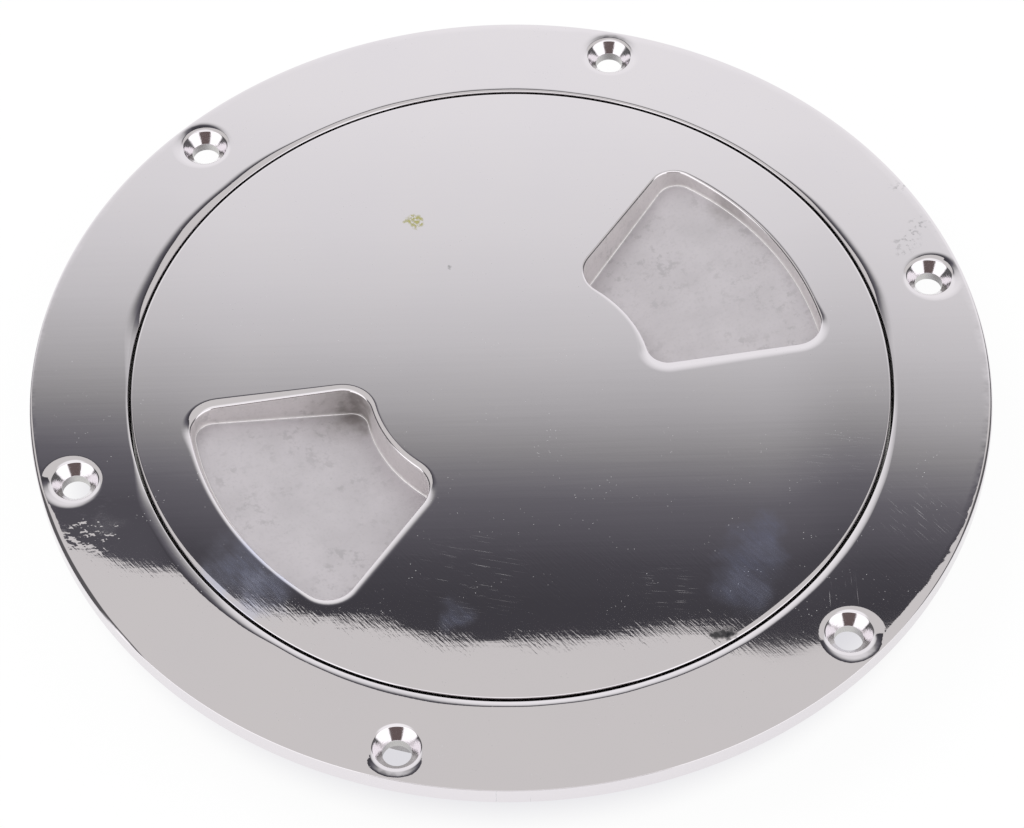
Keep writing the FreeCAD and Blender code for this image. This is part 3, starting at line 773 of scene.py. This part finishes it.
class Outline(NamedTuple):
    """Half a finger recess seen from above: a ring sector with a straight side and round corners."""

    outer: float
    hub: float
    side: float
    outer_corner: float
    inner_corner: float

    def grown(self, by):
        """The same outline set out by a distance all round."""
        return Outline(self.outer + by, self.hub - by, self.side + by,
                       self.outer_corner + by, self.inner_corner + by)

    def half(self, angle):
        """Points along the half to the left of the middle line, +X, from the rim to the hub."""
        def beside(distance, out):
            return Vector((distance * math.cos(angle) - out * math.sin(angle),
                           distance * math.sin(angle) + out * math.cos(angle), 0))

        def bend(middle, first, last, count):
            """Points from first, short of last, the short way round a middle."""
            turn = math.atan2((first - middle).cross(last - middle).z, (first - middle).dot(last - middle))
            return [middle + Matrix.Rotation(turn * step / count, 3, "Z") @ (first - middle)
                    for step in range(count)]

        outer_rest = self.side - self.outer_corner
        inner_rest = self.side - self.inner_corner
        far = math.sqrt((self.outer - self.outer_corner) ** 2 - outer_rest ** 2)
        near = math.sqrt((self.hub + self.inner_corner) ** 2 - inner_rest ** 2)
        far_middle = beside(far, outer_rest)
        near_middle = beside(near, inner_rest)
        far_side, near_side = beside(far, self.side), beside(near, self.side)
        outer_end = far_middle * self.outer / (self.outer - self.outer_corner)
        hub_end = near_middle * self.hub / (self.hub + self.inner_corner)
        steps = OUTLINE_STEPS
        return [
            *bend(CENTRE, Vector((self.outer, 0, 0)), outer_end, steps[0]),
            *bend(far_middle, outer_end, far_side, steps[1]),
            *[far_side.lerp(near_side, step / steps[2]) for step in range(steps[2])],
            *bend(near_middle, near_side, hub_end, steps[3]),
            *bend(CENTRE, hub_end, Vector((self.hub, 0, 0)), steps[4]),
            Vector((self.hub, 0, 0)),
        ]

    def points(self, angle, right=None):
        """Points round a whole outline, whose right half may differ."""
        other = (right or self).half(angle)
        return self.half(angle) + [Vector((point.x, -point.y, 0)) for point in reversed(other[1:-1])]


def lid_pitch():
    """Rise of the lid in one turn, from the two coupled joints."""
    turns = JOINTS["lid_turn"]["range_deg"][1] / 360
    return JOINTS["lid_lift"]["range_m"][1] / turns


def ring_thread_low(ring, thread):
    """Height of the middle of the ring's thread at its lower end."""
    return ring.top - ring.seat_height - thread.first - lid_pitch() * thread.ring_turns


def wander(turn, amount):
    """How far a hand polished edge strays, by its place round the plate."""
    waves = ((5, 0.6, 0.35), (9, 2.1, 0.3), (17, 4.4, 0.25), (31, 1.2, 0.2), (53, 3.0, 0.15))
    return amount * sum(share * math.sin(count * turn + phase) for count, phase, share in waves)


# How the edges were rubbed down, by direction in degrees from the first screw hole: width in
# millimetres and steepest slope in degrees of the bevels, and radius in millimetres of the rim's corner
MOUTH_EDGE = (
    (0, 2.4, 10.5), (15, 1.8, 7.5), (30, 0.75, 11), (45, 0.8, 10), (75, 1.0, 8), (105, 1.2, 14),
    (122, 2.4, 9), (135, 3.3, 11), (150, 3.2, 10.5), (165, 0.4, 9), (178, 0.4, 9), (188, 2.4, 2.2),
    (203, 2.4, 3), (212, 2.0, 6), (220, 1.3, 8), (240, 1.6, 5.5), (255, 1.4, 9), (285, 1.4, 9),
    (315, 1.5, 9), (345, 0.7, 9),
)
LID_EDGE = (
    (75, 0.2, 5), (165, 0.2, 5), (180, 0.3, 3), (192, 0.6, 3), (210, 1.0, 2.8), (230, 0.5, 3),
    (255, 0.2, 5), (280, 0.4, 3), (297, 0.9, 3), (315, 0.3, 4), (345, 0.25, 5),
)
RIM_EDGE = (
    (75, 0.3, 3, 0.3), (165, 0.3, 3, 0.35), (176, 0.3, 10, 0.6), (185, 0.9, 45, 0.4),
    (195, 1.1, 48, 0.45), (203, 0.9, 45, 0.4), (212, 0.2, 5, 0.15), (255, 0.2, 3, 0.1),
    (303, 0.2, 3, 0.12), (312, 0.3, 5, 0.4), (325, 0.5, 30, 0.7), (340, 0.3, 5, 0.7),
)


def rub_edge(bm, rows, radius, side, top, corner=0, stray=0):
    """An edge rubbed down by its table all the way round, on the outer or inner side of its wall."""
    def profile(turn):
        width, tilt, *own_corner = rubbed(rows, turn)
        bevel = width * MM + wander(turn, stray)
        sharpness = own_corner[0] * MM if own_corner else corner
        edge = soft_edge(bevel, math.radians(tilt), sharpness, math.pi / 2)
        return [(radius + side * distance, top + drop) for distance, drop in edge] + [
            (radius, top - EDGE_LIP)]

    stack_loops(bm, [(points, POLISHED) for points in round_loops(profile)])


def model_ring_top(bm, ring, polish):
    """Mouth edge, rim edge and countersunk holes, then the flat between them."""
    top = ring.top
    rub_edge(bm, MOUTH_EDGE, ring.mouth_radius, 1, top, ring.mouth_corner, polish.mouth_wave)
    rub_edge(bm, RIM_EDGE, ring.flange_radius, -1, top)
    rim_foot = arc((ring.flange_radius - ring.rim_foot_round, ring.rim_foot_round),
                   ring.rim_foot_round, 0, -90, ROUND_STEPS // 2)
    turn_profile(bm, [(ring.flange_radius, top - EDGE_LIP)] + rim_foot, POLISHED)

    lean = ring.head_angle / 2
    tilt, polished_turn = math.radians(10), math.radians(30)
    lip = soft_edge(ring.head_bevel, tilt, ring.head_round, math.pi / 2 - lean, polished_turn)
    cone_top = ring.head_radius + lip[-1][1] * math.tan(lean)
    lip = [(cone_top + distance, top + drop) for distance, drop in lip]
    cone_foot = top - (ring.head_radius - ring.hole_radius) / math.tan(lean)
    blunt = 0.05 * MM
    bore_top = cone_foot - 0.08 * MM
    bore_chamfer = 0.15 * MM
    cone = [lip[-1], (ring.hole_radius + blunt, cone_foot + blunt / math.tan(lean)),
            (ring.hole_radius, bore_top)]
    bore = [(ring.hole_radius, bore_top), (ring.hole_radius, bore_chamfer),
            (ring.hole_radius + bore_chamfer, 0)]
    for number in range(ring.screw_count):
        turn = FULL_TURN * number / ring.screw_count
        centre = Vector((ring.screw_circle * math.cos(turn), ring.screw_circle * math.sin(turn), 0))
        turn_profile(bm, lip, POLISHED, centre, HOLE_STEPS)
        turn_profile(bm, cone, COUNTERSUNK, centre, HOLE_STEPS)
        turn_profile(bm, bore, TURNED, centre, HOLE_STEPS)
    merge_close(bm)
    fill_flat(bm, top, POLISHED)


def model_ring_below(bm, ring):
    """Mouth wall, seal seat, bore, collar and the flange's underside."""
    seat = ring.top - ring.seat_height
    foot = -ring.collar_depth
    corner = 0.3 * MM
    inside = [
        (ring.mouth_radius, ring.top - EDGE_LIP),
        (ring.mouth_radius, seat + corner),
        *arc((ring.mouth_radius - corner, seat + corner), corner, 0, -90, 3)[1:],
        (ring.bore_radius + corner, seat),
        (ring.bore_radius, seat - corner),
        (ring.bore_radius, foot + ring.foot_chamfer),
        (ring.bore_radius + ring.foot_chamfer, foot),
        (ring.collar_radius - ring.foot_chamfer, foot),
    ]
    outside = [
        (ring.collar_radius - ring.foot_chamfer, foot),
        (ring.collar_radius, foot + ring.foot_chamfer),
        *arc((ring.collar_radius + ring.collar_root_round, -ring.collar_root_round),
             ring.collar_root_round, 180, 90),
    ]
    turn_profile(bm, inside, TURNED)
    turn_profile(bm, outside, CAST)
    merge_close(bm)
    fill_flat(bm, 0, CAST)


class DECKPLATE_OT_ring(bpy.types.Operator):
    """Make the deck ring: flange, countersunk holes, mouth, seal seat and threaded collar"""

    bl_idname = "deckplate.ring"
    bl_label = "Deck ring"

    def execute(self, context):
        settings = context.scene.deck_plate
        ring, thread = settings.ring, settings.thread
        bm = bmesh.new()
        model_ring_top(bm, ring, settings.polish)
        model_ring_below(bm, ring)
        wind_thread(bm, thread, ring.bore_radius, ring.bore_radius - thread.depth,
                    ring_thread_low(ring, thread), 0, thread.ring_turns, lid_pitch(), TURNED)
        steel = polished_steel("ring_polished_steel", settings, flange_marks)
        materials = [steel, turned_steel(settings), cast_steel(settings), countersunk_steel(settings)]
        make_piece("deck_ring_casting", bm, materials, "deck_ring", "frame_ring")
        return {"FINISHED"}


class Lip(NamedTuple):
    """How one edge of a recess was cast and rubbed down, in millimetres and degrees.

    Pairs are beside the hub and beside the rim. Corners are the radii of a side's two corners.
    """

    inset: float
    bevel: tuple
    tilt: float
    growth: float
    corners: tuple = (0, 0)
    floor_inset: float = 0


class RecessLips(NamedTuple):
    """The four edges of a recess, its sides as seen from the middle of the lid."""

    rim: Lip
    left: Lip
    hub: Lip
    right: Lip


RECESS_LIPS = (
    RecessLips(rim=Lip(0.5, (0.5, 0.5), 5, 1),
               left=Lip(0.45, (0.1, 0.1), 4, 1, corners=(6.4, 5.3)),
               hub=Lip(0, (0.8, 0.8), 8, 2.5),
               right=Lip(2.5, (2.7, 2.1), 10, 1.6, corners=(4.5, 6), floor_inset=0.6)),
    RecessLips(rim=Lip(0, (0.9, 0.9), 8, 2.5),
               left=Lip(1.3, (1.6, 1.6), 8, 2, corners=(6.8, 6), floor_inset=0.6),
               hub=Lip(0.3, (0.9, 0.9), 12, 1),
               right=Lip(1.5, (1.3, 2.2), 9, 1, corners=(6.4, 6.2), floor_inset=0.7)),
)
# How far from a side its bevel runs on round the corners, how steep the walls are and where on the
# lip's corner the polish ends
CORNER_REACH = 12 * MM
WALL_TURN = math.radians(82)
POLISHED_TURN = math.radians(58)

# Heights of the wall's bands, and the steps of its foot: blasted, one with a painted highlight, then floor
WALL_SHARES = (0.3, 0.6, 0.9)
FOOT_STEPS = 8
BRIGHT_STEP = 5


def model_recess(bm, lid, place, lips):
    """A finger recess: polished lip, leaning wall, floor corner and sloping floor."""
    top = lid.top
    foot = Outline(lid.recess_outer - lid.end_draw, lid.recess_hub + lid.end_draw,
                   lid.recess_side - lid.side_draw, lid.outer_corner - lid.end_draw,
                   lid.inner_corner - lid.end_draw)
    edges = [Outline(lid.recess_outer - lips.rim.inset * MM, lid.recess_hub + lips.hub.inset * MM,
                     lid.recess_side - lip.inset * MM, lip.corners[1] * MM, lip.corners[0] * MM)
             for lip in (lips.left, lips.right)]
    feet = [foot._replace(side=foot.side - lip.floor_inset * MM) for lip in (lips.left, lips.right)]
    across, along = math.sin(lid.recess_angle), math.cos(lid.recess_angle)
    outwards = (Vector((-across, along, 0)), Vector((-across, -along, 0)))

    def points_of(halves, growth):
        """Points round two different halves, both set out by a distance."""
        left, right = [half.grown(growth) for half in halves]
        return left.points(lid.recess_angle, right)

    base = points_of(edges, 0)
    normals = [(far - near) / MM for far, near in zip(points_of(edges, MM), base)]

    def blend(point, measures):
        """A measure at a point from those of the four edges, each beside the hub and beside the rim."""
        out = smooth((point.length - lid.recess_hub) / (lid.recess_outer - lid.recess_hub))
        left, right = [smooth(1 + (point.dot(outward) - edge.side) / CORNER_REACH)
                       for outward, edge in zip(outwards, edges)]
        rest = max(0, 1 - left - right)
        shares = (rest * out, left, rest * (1 - out), right)
        return sum(share * (near + (far - near) * out) for share, (near, far) in zip(shares, measures))

    def lip_points(point, normal):
        """The lip's section at one place round the outline."""
        bevel = blend(point, [lip.bevel for lip in lips])
        tilt = blend(point, [(lip.tilt, lip.tilt) for lip in lips])
        growth = blend(point, [(lip.growth, lip.growth) for lip in lips])
        section = soft_edge(bevel * MM, math.radians(tilt), lid.lip_round, WALL_TURN, POLISHED_TURN,
                            growth)
        return [place @ (point + normal * distance + UP * (top + drop)) for distance, drop in section]

    def over_floor(points, above):
        """Points at a height above the sloping floor."""
        middle = top - lid.hub_depth + above
        slope = math.tan(lid.floor_slope)
        return [place @ (point + UP * (middle + (point.x - lid.recess_hub) * slope)) for point in points]

    levels = [list(level) for level in zip(*map(lip_points, base, normals))]
    polished = len(levels) - ROUND_STEPS // 2
    loops = [(points, POLISHED if number < polished else BLASTED) for number, points in enumerate(levels)]

    floor_reach = lid.floor_round * math.tan(WALL_TURN / 2)
    corner = arc((floor_reach, lid.floor_round), lid.floor_round, 270 - math.degrees(WALL_TURN), 270,
                 FOOT_STEPS)
    rounds = [over_floor(points_of(feet, -inwards), above) for inwards, above in corner]
    for share in WALL_SHARES:
        wall = [upper.lerp(lower, share) for upper, lower in zip(levels[-1], rounds[0])]
        loops.append((wall, BLASTED))
    # One band of the floor corner takes the painted highlight
    bands = [BLASTED] * BRIGHT_STEP + [PAINTED_HIGHLIGHT] + [FLOOR_WITH_PAINTED_SHADE] * (FOOT_STEPS - BRIGHT_STEP)
    loops += zip(rounds, bands)
    close_loop(bm, stack_loops(bm, loops), FLOOR_WITH_PAINTED_SHADE)


def model_recess_back(bm, lid, place):
    """The metal that follows a recess under the lid and runs into the skirt."""
    plate_underside = lid.top - lid.plate_thickness
    reach = lid.skirt_radius - lid.skirt_wall / 2
    corner = lid.skirt_wall / 4
    root = Outline(reach, lid.recess_hub - lid.metal, lid.recess_side + lid.metal, corner,
                   lid.inner_corner + lid.metal)
    back = Outline(reach, lid.recess_hub + lid.end_draw - lid.metal,
                   lid.recess_side - lid.side_draw + lid.metal, corner,
                   lid.inner_corner - lid.end_draw + lid.metal)
    inside = Outline(lid.recess_outer, lid.recess_hub, lid.recess_side, lid.outer_corner,
                     lid.inner_corner).grown(lid.metal / 2)
    hidden = plate_underside + lid.plate_thickness / 3

    def flat(outline, height):
        return [place @ (point + UP * height) for point in outline.points(lid.recess_angle)]

    def over_back(outline, above):
        base = lid.top - lid.hub_depth - lid.metal / math.cos(lid.floor_slope)
        rise = math.tan(lid.floor_slope)
        return [place @ (point + UP * (base + (point.x - lid.recess_hub) * rise + above))
                for point in outline.points(lid.recess_angle)]

    loops = [flat(inside, plate_underside), flat(inside, hidden), flat(root, hidden),
             flat(root, plate_underside)]
    for across, above in arc((-lid.back_round, lid.back_round), lid.back_round, 0, -90, 6):
        shrunk = back.grown(across)
        sharpest = shrunk._replace(outer_corner=max(shrunk.outer_corner, corner / 5))
        loops.append(over_back(sharpest, above))
    close_loop(bm, stack_loops(bm, [(points, CAST) for points in loops]), CAST)


def model_lid_body(bm, lid, seat):
    """The lid's rim, neck, skirt and underside, as one turned skin."""
    top = lid.top
    rim_underside = top - lid.rim_thickness
    rub_edge(bm, LID_EDGE, lid.radius, -1, top, lid.edge_round)
    neck_foot = seat - (lid.neck_radius - lid.skirt_radius)
    skirt_foot = -lid.skirt_depth
    inside = lid.skirt_radius - lid.skirt_wall
    plate_underside = top - lid.plate_thickness
    corner = 0.25 * MM
    fillet = 1.2 * MM
    turned = [
        (lid.radius, top - EDGE_LIP),
        (lid.radius, rim_underside + corner),
        (lid.radius - corner, rim_underside),
        (lid.neck_radius + corner, rim_underside),
        (lid.neck_radius, rim_underside - corner),
        (lid.neck_radius, seat),
        (lid.skirt_radius, neck_foot),
        (lid.skirt_radius, skirt_foot + lid.foot_chamfer),
        (lid.skirt_radius - lid.foot_chamfer, skirt_foot),
        (inside + lid.foot_chamfer, skirt_foot),
        (inside, skirt_foot + lid.foot_chamfer),
    ]
    turn_profile(bm, turned, TURNED)
    cast = [turned[-1]] + arc((inside - fillet, plate_underside - fillet), fillet, 0, 90)
    turn_profile(bm, cast, CAST)


class DECKPLATE_OT_lid(bpy.types.Operator):
    """Make the lid: flush plate with finger recesses, neck and screwed skirt"""

    bl_idname = "deckplate.lid"
    bl_label = "Lid"

    def execute(self, context):
        settings = context.scene.deck_plate
        lid, thread, ring = settings.lid, settings.thread, settings.ring
        bm = bmesh.new()
        model_lid_body(bm, lid, ring.top - ring.seat_height)
        for number in range(lid.recess_count):
            place = Matrix.Rotation(lid.clocking + FULL_TURN * number / lid.recess_count, 4, "Z")
            model_recess(bm, lid, place, RECESS_LIPS[number % len(RECESS_LIPS)])
            model_recess_back(bm, lid, place)
        merge_close(bm)
        fill_flat(bm, lid.top, POLISHED)
        fill_flat(bm, lid.top - lid.plate_thickness, CAST)
        halfway = lid_pitch() * (0.5 + thread.lid_start / FULL_TURN)
        wind_thread(bm, thread, lid.skirt_radius, lid.skirt_radius + thread.depth,
                    ring_thread_low(ring, thread) + halfway, thread.lid_start, thread.lid_turns,
                    lid_pitch(), TURNED)
        steel = polished_steel("lid_polished_steel", settings, lid_marks)
        finishes = settings.finishes
        # The recess floors take a darker copy of the walls' blasted steel: painted shade
        materials = [steel, turned_steel(settings), cast_steel(settings),
                     blasted_steel("recess_wall_steel", finishes.blasted), painted_highlight_steel(),
                     blasted_steel("recess_floor_painted_shade_steel", finishes.floor)]
        make_piece("lid_casting", bm, materials, "lid", "lid")
        return {"FINISHED"}


class DECKPLATE_OT_seal(bpy.types.Operator):
    """Make the rubber seal, pressed flat under the lid's rim, with its fine moulding line"""

    bl_idname = "deckplate.seal"
    bl_label = "Seal"

    def execute(self, context):
        settings = context.scene.deck_plate
        corner = 0.8 * MM
        flash = 0.12 * MM
        inner = settings.lid.neck_radius + 0.1 * MM
        outer = SEAL_HIGH.x - flash
        low, high = SEAL_LOW.z, SEAL_HIGH.z
        middle = (low + high) / 2
        outline = [
            *arc((outer - corner, high - corner), corner, 90, 0, 6),
            (outer, middle + flash),
            (outer + flash, middle),
            (outer, middle - flash),
            *arc((outer - corner, low + corner), corner, 0, -90, 6),
            *arc((inner + corner, low + corner), corner, 270, 180, 6),
            *arc((inner + corner, high - corner), corner, 180, 90, 6),
        ]
        bm = bmesh.new()
        turn_profile(bm, outline, 0, closed=True)
        make_piece("seal_cord", bm, [seal_rubber(settings)], "seal", "o_ring")
        return {"FINISHED"}


# What mirrors see of the studio: the far side's ceiling and panel, the sides, the screens on the
# camera's side, straight above, and the dark figure low between the screens
CEILING = (0.715, 0.705, 0.685)
PANEL_TINT = (0.945, 0.92, 1.055)
SIDES = (0.12, 0.118, 0.12)
SCREENS = (1.35, 1.35, 1.35)
OVERHEAD = (1.1, 1.1, 1.1)
FIGURE = (0.15, 0.115, 0.112)
WHITE = (1, 1, 1)

# The floor's own light under the plate, painted darker as the plate's shadow
SHADED_FLOOR = (0.74, 0.73, 0.77)

# How the dark panel fades to white from its upper edge, over this share of the height of the mirror
PANEL_TOP = 0.6582
PANEL_SPAN = 0.4
PANEL_FADE = ((0, 0.062), (0.035, 0.064), (0.075, 0.082), (0.14, 0.16), (0.175, 0.254), (0.24, 0.482),
              (0.31, 0.66), (0.375, 0.765), (0.44, 0.835), (0.57, 0.918), (0.85, 1.0))


def far_side(recipe, sideways, away):
    """A pale ceiling that ends at a sharp, slightly bowed edge, and a dark panel that fades to white."""
    aside = recipe.rise(sideways, 0.085, 0.12) * 0.011 + recipe.rise(sideways, -0.09, -0.13) * 0.006
    below_top = away - PANEL_TOP + sideways * 0.05 - aside
    fade = recipe.add("ValToRGB", {"stops": PANEL_FADE}, {"Fac": below_top / PANEL_SPAN})
    fade = recipe.most(fade, recipe.rise(sideways, -0.09, -0.13) * 0.1)
    tint = recipe.mix(recipe.rise(fade, 0.06, 0.35), PANEL_TINT, WHITE)
    panel = recipe.add("VectorMath", {"operation": "SCALE"}, {0: tint, "Scale": fade})
    edge = 0.6567 - sideways * 0.002 + sideways * sideways * 1.47
    edge = edge - recipe.rise(sideways, 0.05, 0.085) * 0.009
    edge = edge + recipe.rise(sideways, -0.02, -0.05) * 0.005
    edge = edge - recipe.rise(sideways, -0.105, -0.14) * 0.008
    below = recipe.rise(away - edge, -0.0006, 0.0006)
    return recipe.mix(below, CEILING, panel)


def near_sides(recipe, x, y, z, shade):
    """Over the far side: white above, grey to the sides, and screens with a dark figure between."""
    level = recipe.math("SQRT", x * x + y * y)
    turned_away = recipe.math("ARCCOSINE", y / recipe.most(level, 0.001))
    height = recipe.math("ARCSINE", z)

    def past(turn, low, high):
        """0 before an angle in degrees, 1 past another."""
        return recipe.rise(turn, math.radians(low), math.radians(high))

    shade = recipe.mix(past(height, 67, 74), shade, OVERHEAD)
    shade = recipe.mix(past(turned_away, 38, 50) * (1 - past(height, 40, 50)), shade, SIDES)
    shade = recipe.mix(past(turned_away, 90, 97) * (1 - past(height, 62, 68)), shade, SCREENS)
    return recipe.mix(past(turned_away, 149, 153) * (1 - past(height, 41, 47)), shade, FIGURE)


def light_paths(recipe):
    """Whether a ray is the camera's or goes through glass, and whether it is a mirror's."""
    camera, glossy, through = [recipe.add("LightPath", {}, {}, name)
                               for name in ("Is Camera Ray", "Is Glossy Ray", "Is Transmission Ray")]
    return recipe.most(camera, through), glossy


def light_studio(studio):
    """Even light all round and plain white behind, and what mirrors see instead."""
    world = bpy.data.worlds.new("Studio")
    world.use_nodes = True
    bpy.context.scene.world = world
    recipe = Recipe(world.node_tree)
    seen = recipe.add("TexCoord", {}, {}, "Generated")
    turned = recipe.add("VectorRotate", {"rotation_type": "Z_AXIS"},
                        {"Vector": seen, "Angle": -studio.camera_turn})
    x, y, z = recipe.parts(turned)
    upwards = recipe.most(z, 0.001)
    sideways = recipe.least(recipe.most(x / upwards, -0.3), 0.3)
    mirror_shade = near_sides(recipe, x, y, z, far_side(recipe, sideways, y / upwards))
    direct, glossy = light_paths(recipe)
    plain = recipe.mix(glossy, (studio.plain_light,) * 3, mirror_shade)
    background = recipe.add("Background", {}, {"Color": recipe.mix(direct, plain, WHITE), "Strength": 1})
    recipe.add("OutputWorld", {}, {"Surface": background})


def floor_material(studio):
    """Pale paper that the camera and mirrors see as white, with the plate's shadow left on it and a shadow
    painted under the plate.
    """
    material, recipe, place = new_material("pale_floor")
    paper = recipe.add("BsdfDiffuse", {}, {"Color": (*studio.floor_colour, 1)})
    # Painted shadow: the floor's glow is darker within a tenth of a metre of the plate's axis
    shaded = 1 - recipe.rise(recipe.from_axis(place), 0.085, 0.1)
    glow = recipe.mix(shaded, WHITE, SHADED_FLOOR)
    white = recipe.add("Emission", {}, {"Color": glow, "Strength": 1})
    direct, glossy = light_paths(recipe)
    share = recipe.most(direct * 0.95, glossy * 0.8)
    surface = recipe.add("MixShader", {}, {0: share, 1: paper, 2: white})
    recipe.add("OutputMaterial", {}, {"Surface": surface})
    return material


def add_lamp(name, place, size, watts):
    """A soft lamp that looks at the plate and isn't mirrored in it."""
    lamp = bpy.data.lights.new(name, "AREA")
    lamp.shape = "DISK"
    lamp.size = size
    lamp.energy = watts
    holder = bpy.data.objects.new(name, lamp)
    holder.location = place
    holder.rotation_euler = Vector(place).to_track_quat("Z", "Y").to_euler()
    holder.visible_glossy = False
    holder.visible_camera = False
    bpy.context.scene.collection.objects.link(holder)


class DECKPLATE_OT_stage(bpy.types.Operator):
    """Make the camera, the pale floor and the studio's light"""

    bl_idname = "deckplate.stage"
    bl_label = "Camera, floor and light"

    def execute(self, context):
        studio = context.scene.deck_plate.studio
        camera = bpy.data.objects.new("Camera", bpy.data.cameras.new("Camera"))
        camera.data.lens = studio.lens
        camera.data.sensor_width = 36
        camera.data.clip_start = 0.01
        turned = Matrix.Rotation(studio.camera_turn, 4, "Z")
        tipped = Matrix.Rotation(math.pi / 2 - studio.camera_rise, 4, "X")
        rolled = Matrix.Rotation(studio.camera_roll, 4, "Z")
        camera.matrix_world = Matrix.Translation(studio.camera_place) @ turned @ tipped @ rolled
        context.scene.collection.objects.link(camera)
        context.scene.camera = camera

        bm = bmesh.new()
        bmesh.ops.create_grid(bm, x_segments=1, y_segments=1, size=studio.floor_size / 2)
        bmesh.ops.translate(bm, verts=bm.verts[:], vec=UP * RING_LOW.z)
        mesh = bpy.data.meshes.new("pale_floor")
        bm.to_mesh(mesh)
        bm.free()
        mesh.materials.append(floor_material(studio))
        floor = bpy.data.objects.new("pale_floor", mesh)
        context.scene.collection.objects.link(floor)

        light_studio(studio)
        add_lamp("Key lamp", (-0.5, 0.4, 1.1), 0.8, 7)
        add_lamp("Fill lamp", (0.7, -0.3, 1.0), 0.8, 3)
        context.scene.view_settings.view_transform = "Standard"
        return {"FINISHED"}


class DECKPLATE_PT_panel(bpy.types.Panel):
    """The deck plate's operators and sizes in the sidebar"""

    bl_idname = "DECKPLATE_PT_panel"
    bl_label = "Deck inspection plate"
    bl_space_type = "VIEW_3D"
    bl_region_type = "UI"
    bl_category = "Deck plate"

    def draw(self, context):
        for operator in OPERATORS:
            self.layout.operator(operator.bl_idname)
        settings = context.scene.deck_plate
        for group_name in DeckPlateSettings.__annotations__:
            group = getattr(settings, group_name)
            box = self.layout.box()
            box.label(text=group_name.capitalize())
            for size_name in type(group).__annotations__:
                box.prop(group, size_name)


OPERATORS = (DECKPLATE_OT_ring, DECKPLATE_OT_lid, DECKPLATE_OT_seal, DECKPLATE_OT_stage)
CLASSES = (RingSizes, LidSizes, ThreadSizes, PolishSizes, Finishes, StudioSettings,
           DeckPlateSettings, *OPERATORS, DECKPLATE_PT_panel)


def register():
    for cls in CLASSES:
        bpy.utils.register_class(cls)
    bpy.types.Scene.deck_plate = PointerProperty(type=DeckPlateSettings)


def unregister():
    del bpy.types.Scene.deck_plate
    for cls in reversed(CLASSES):
        bpy.utils.unregister_class(cls)


def main():
    register()
    bpy.ops.deckplate.stage()
    bpy.ops.deckplate.ring()
    bpy.ops.deckplate.lid()
    bpy.ops.deckplate.seal()


if __name__ == "__main__":
    main()
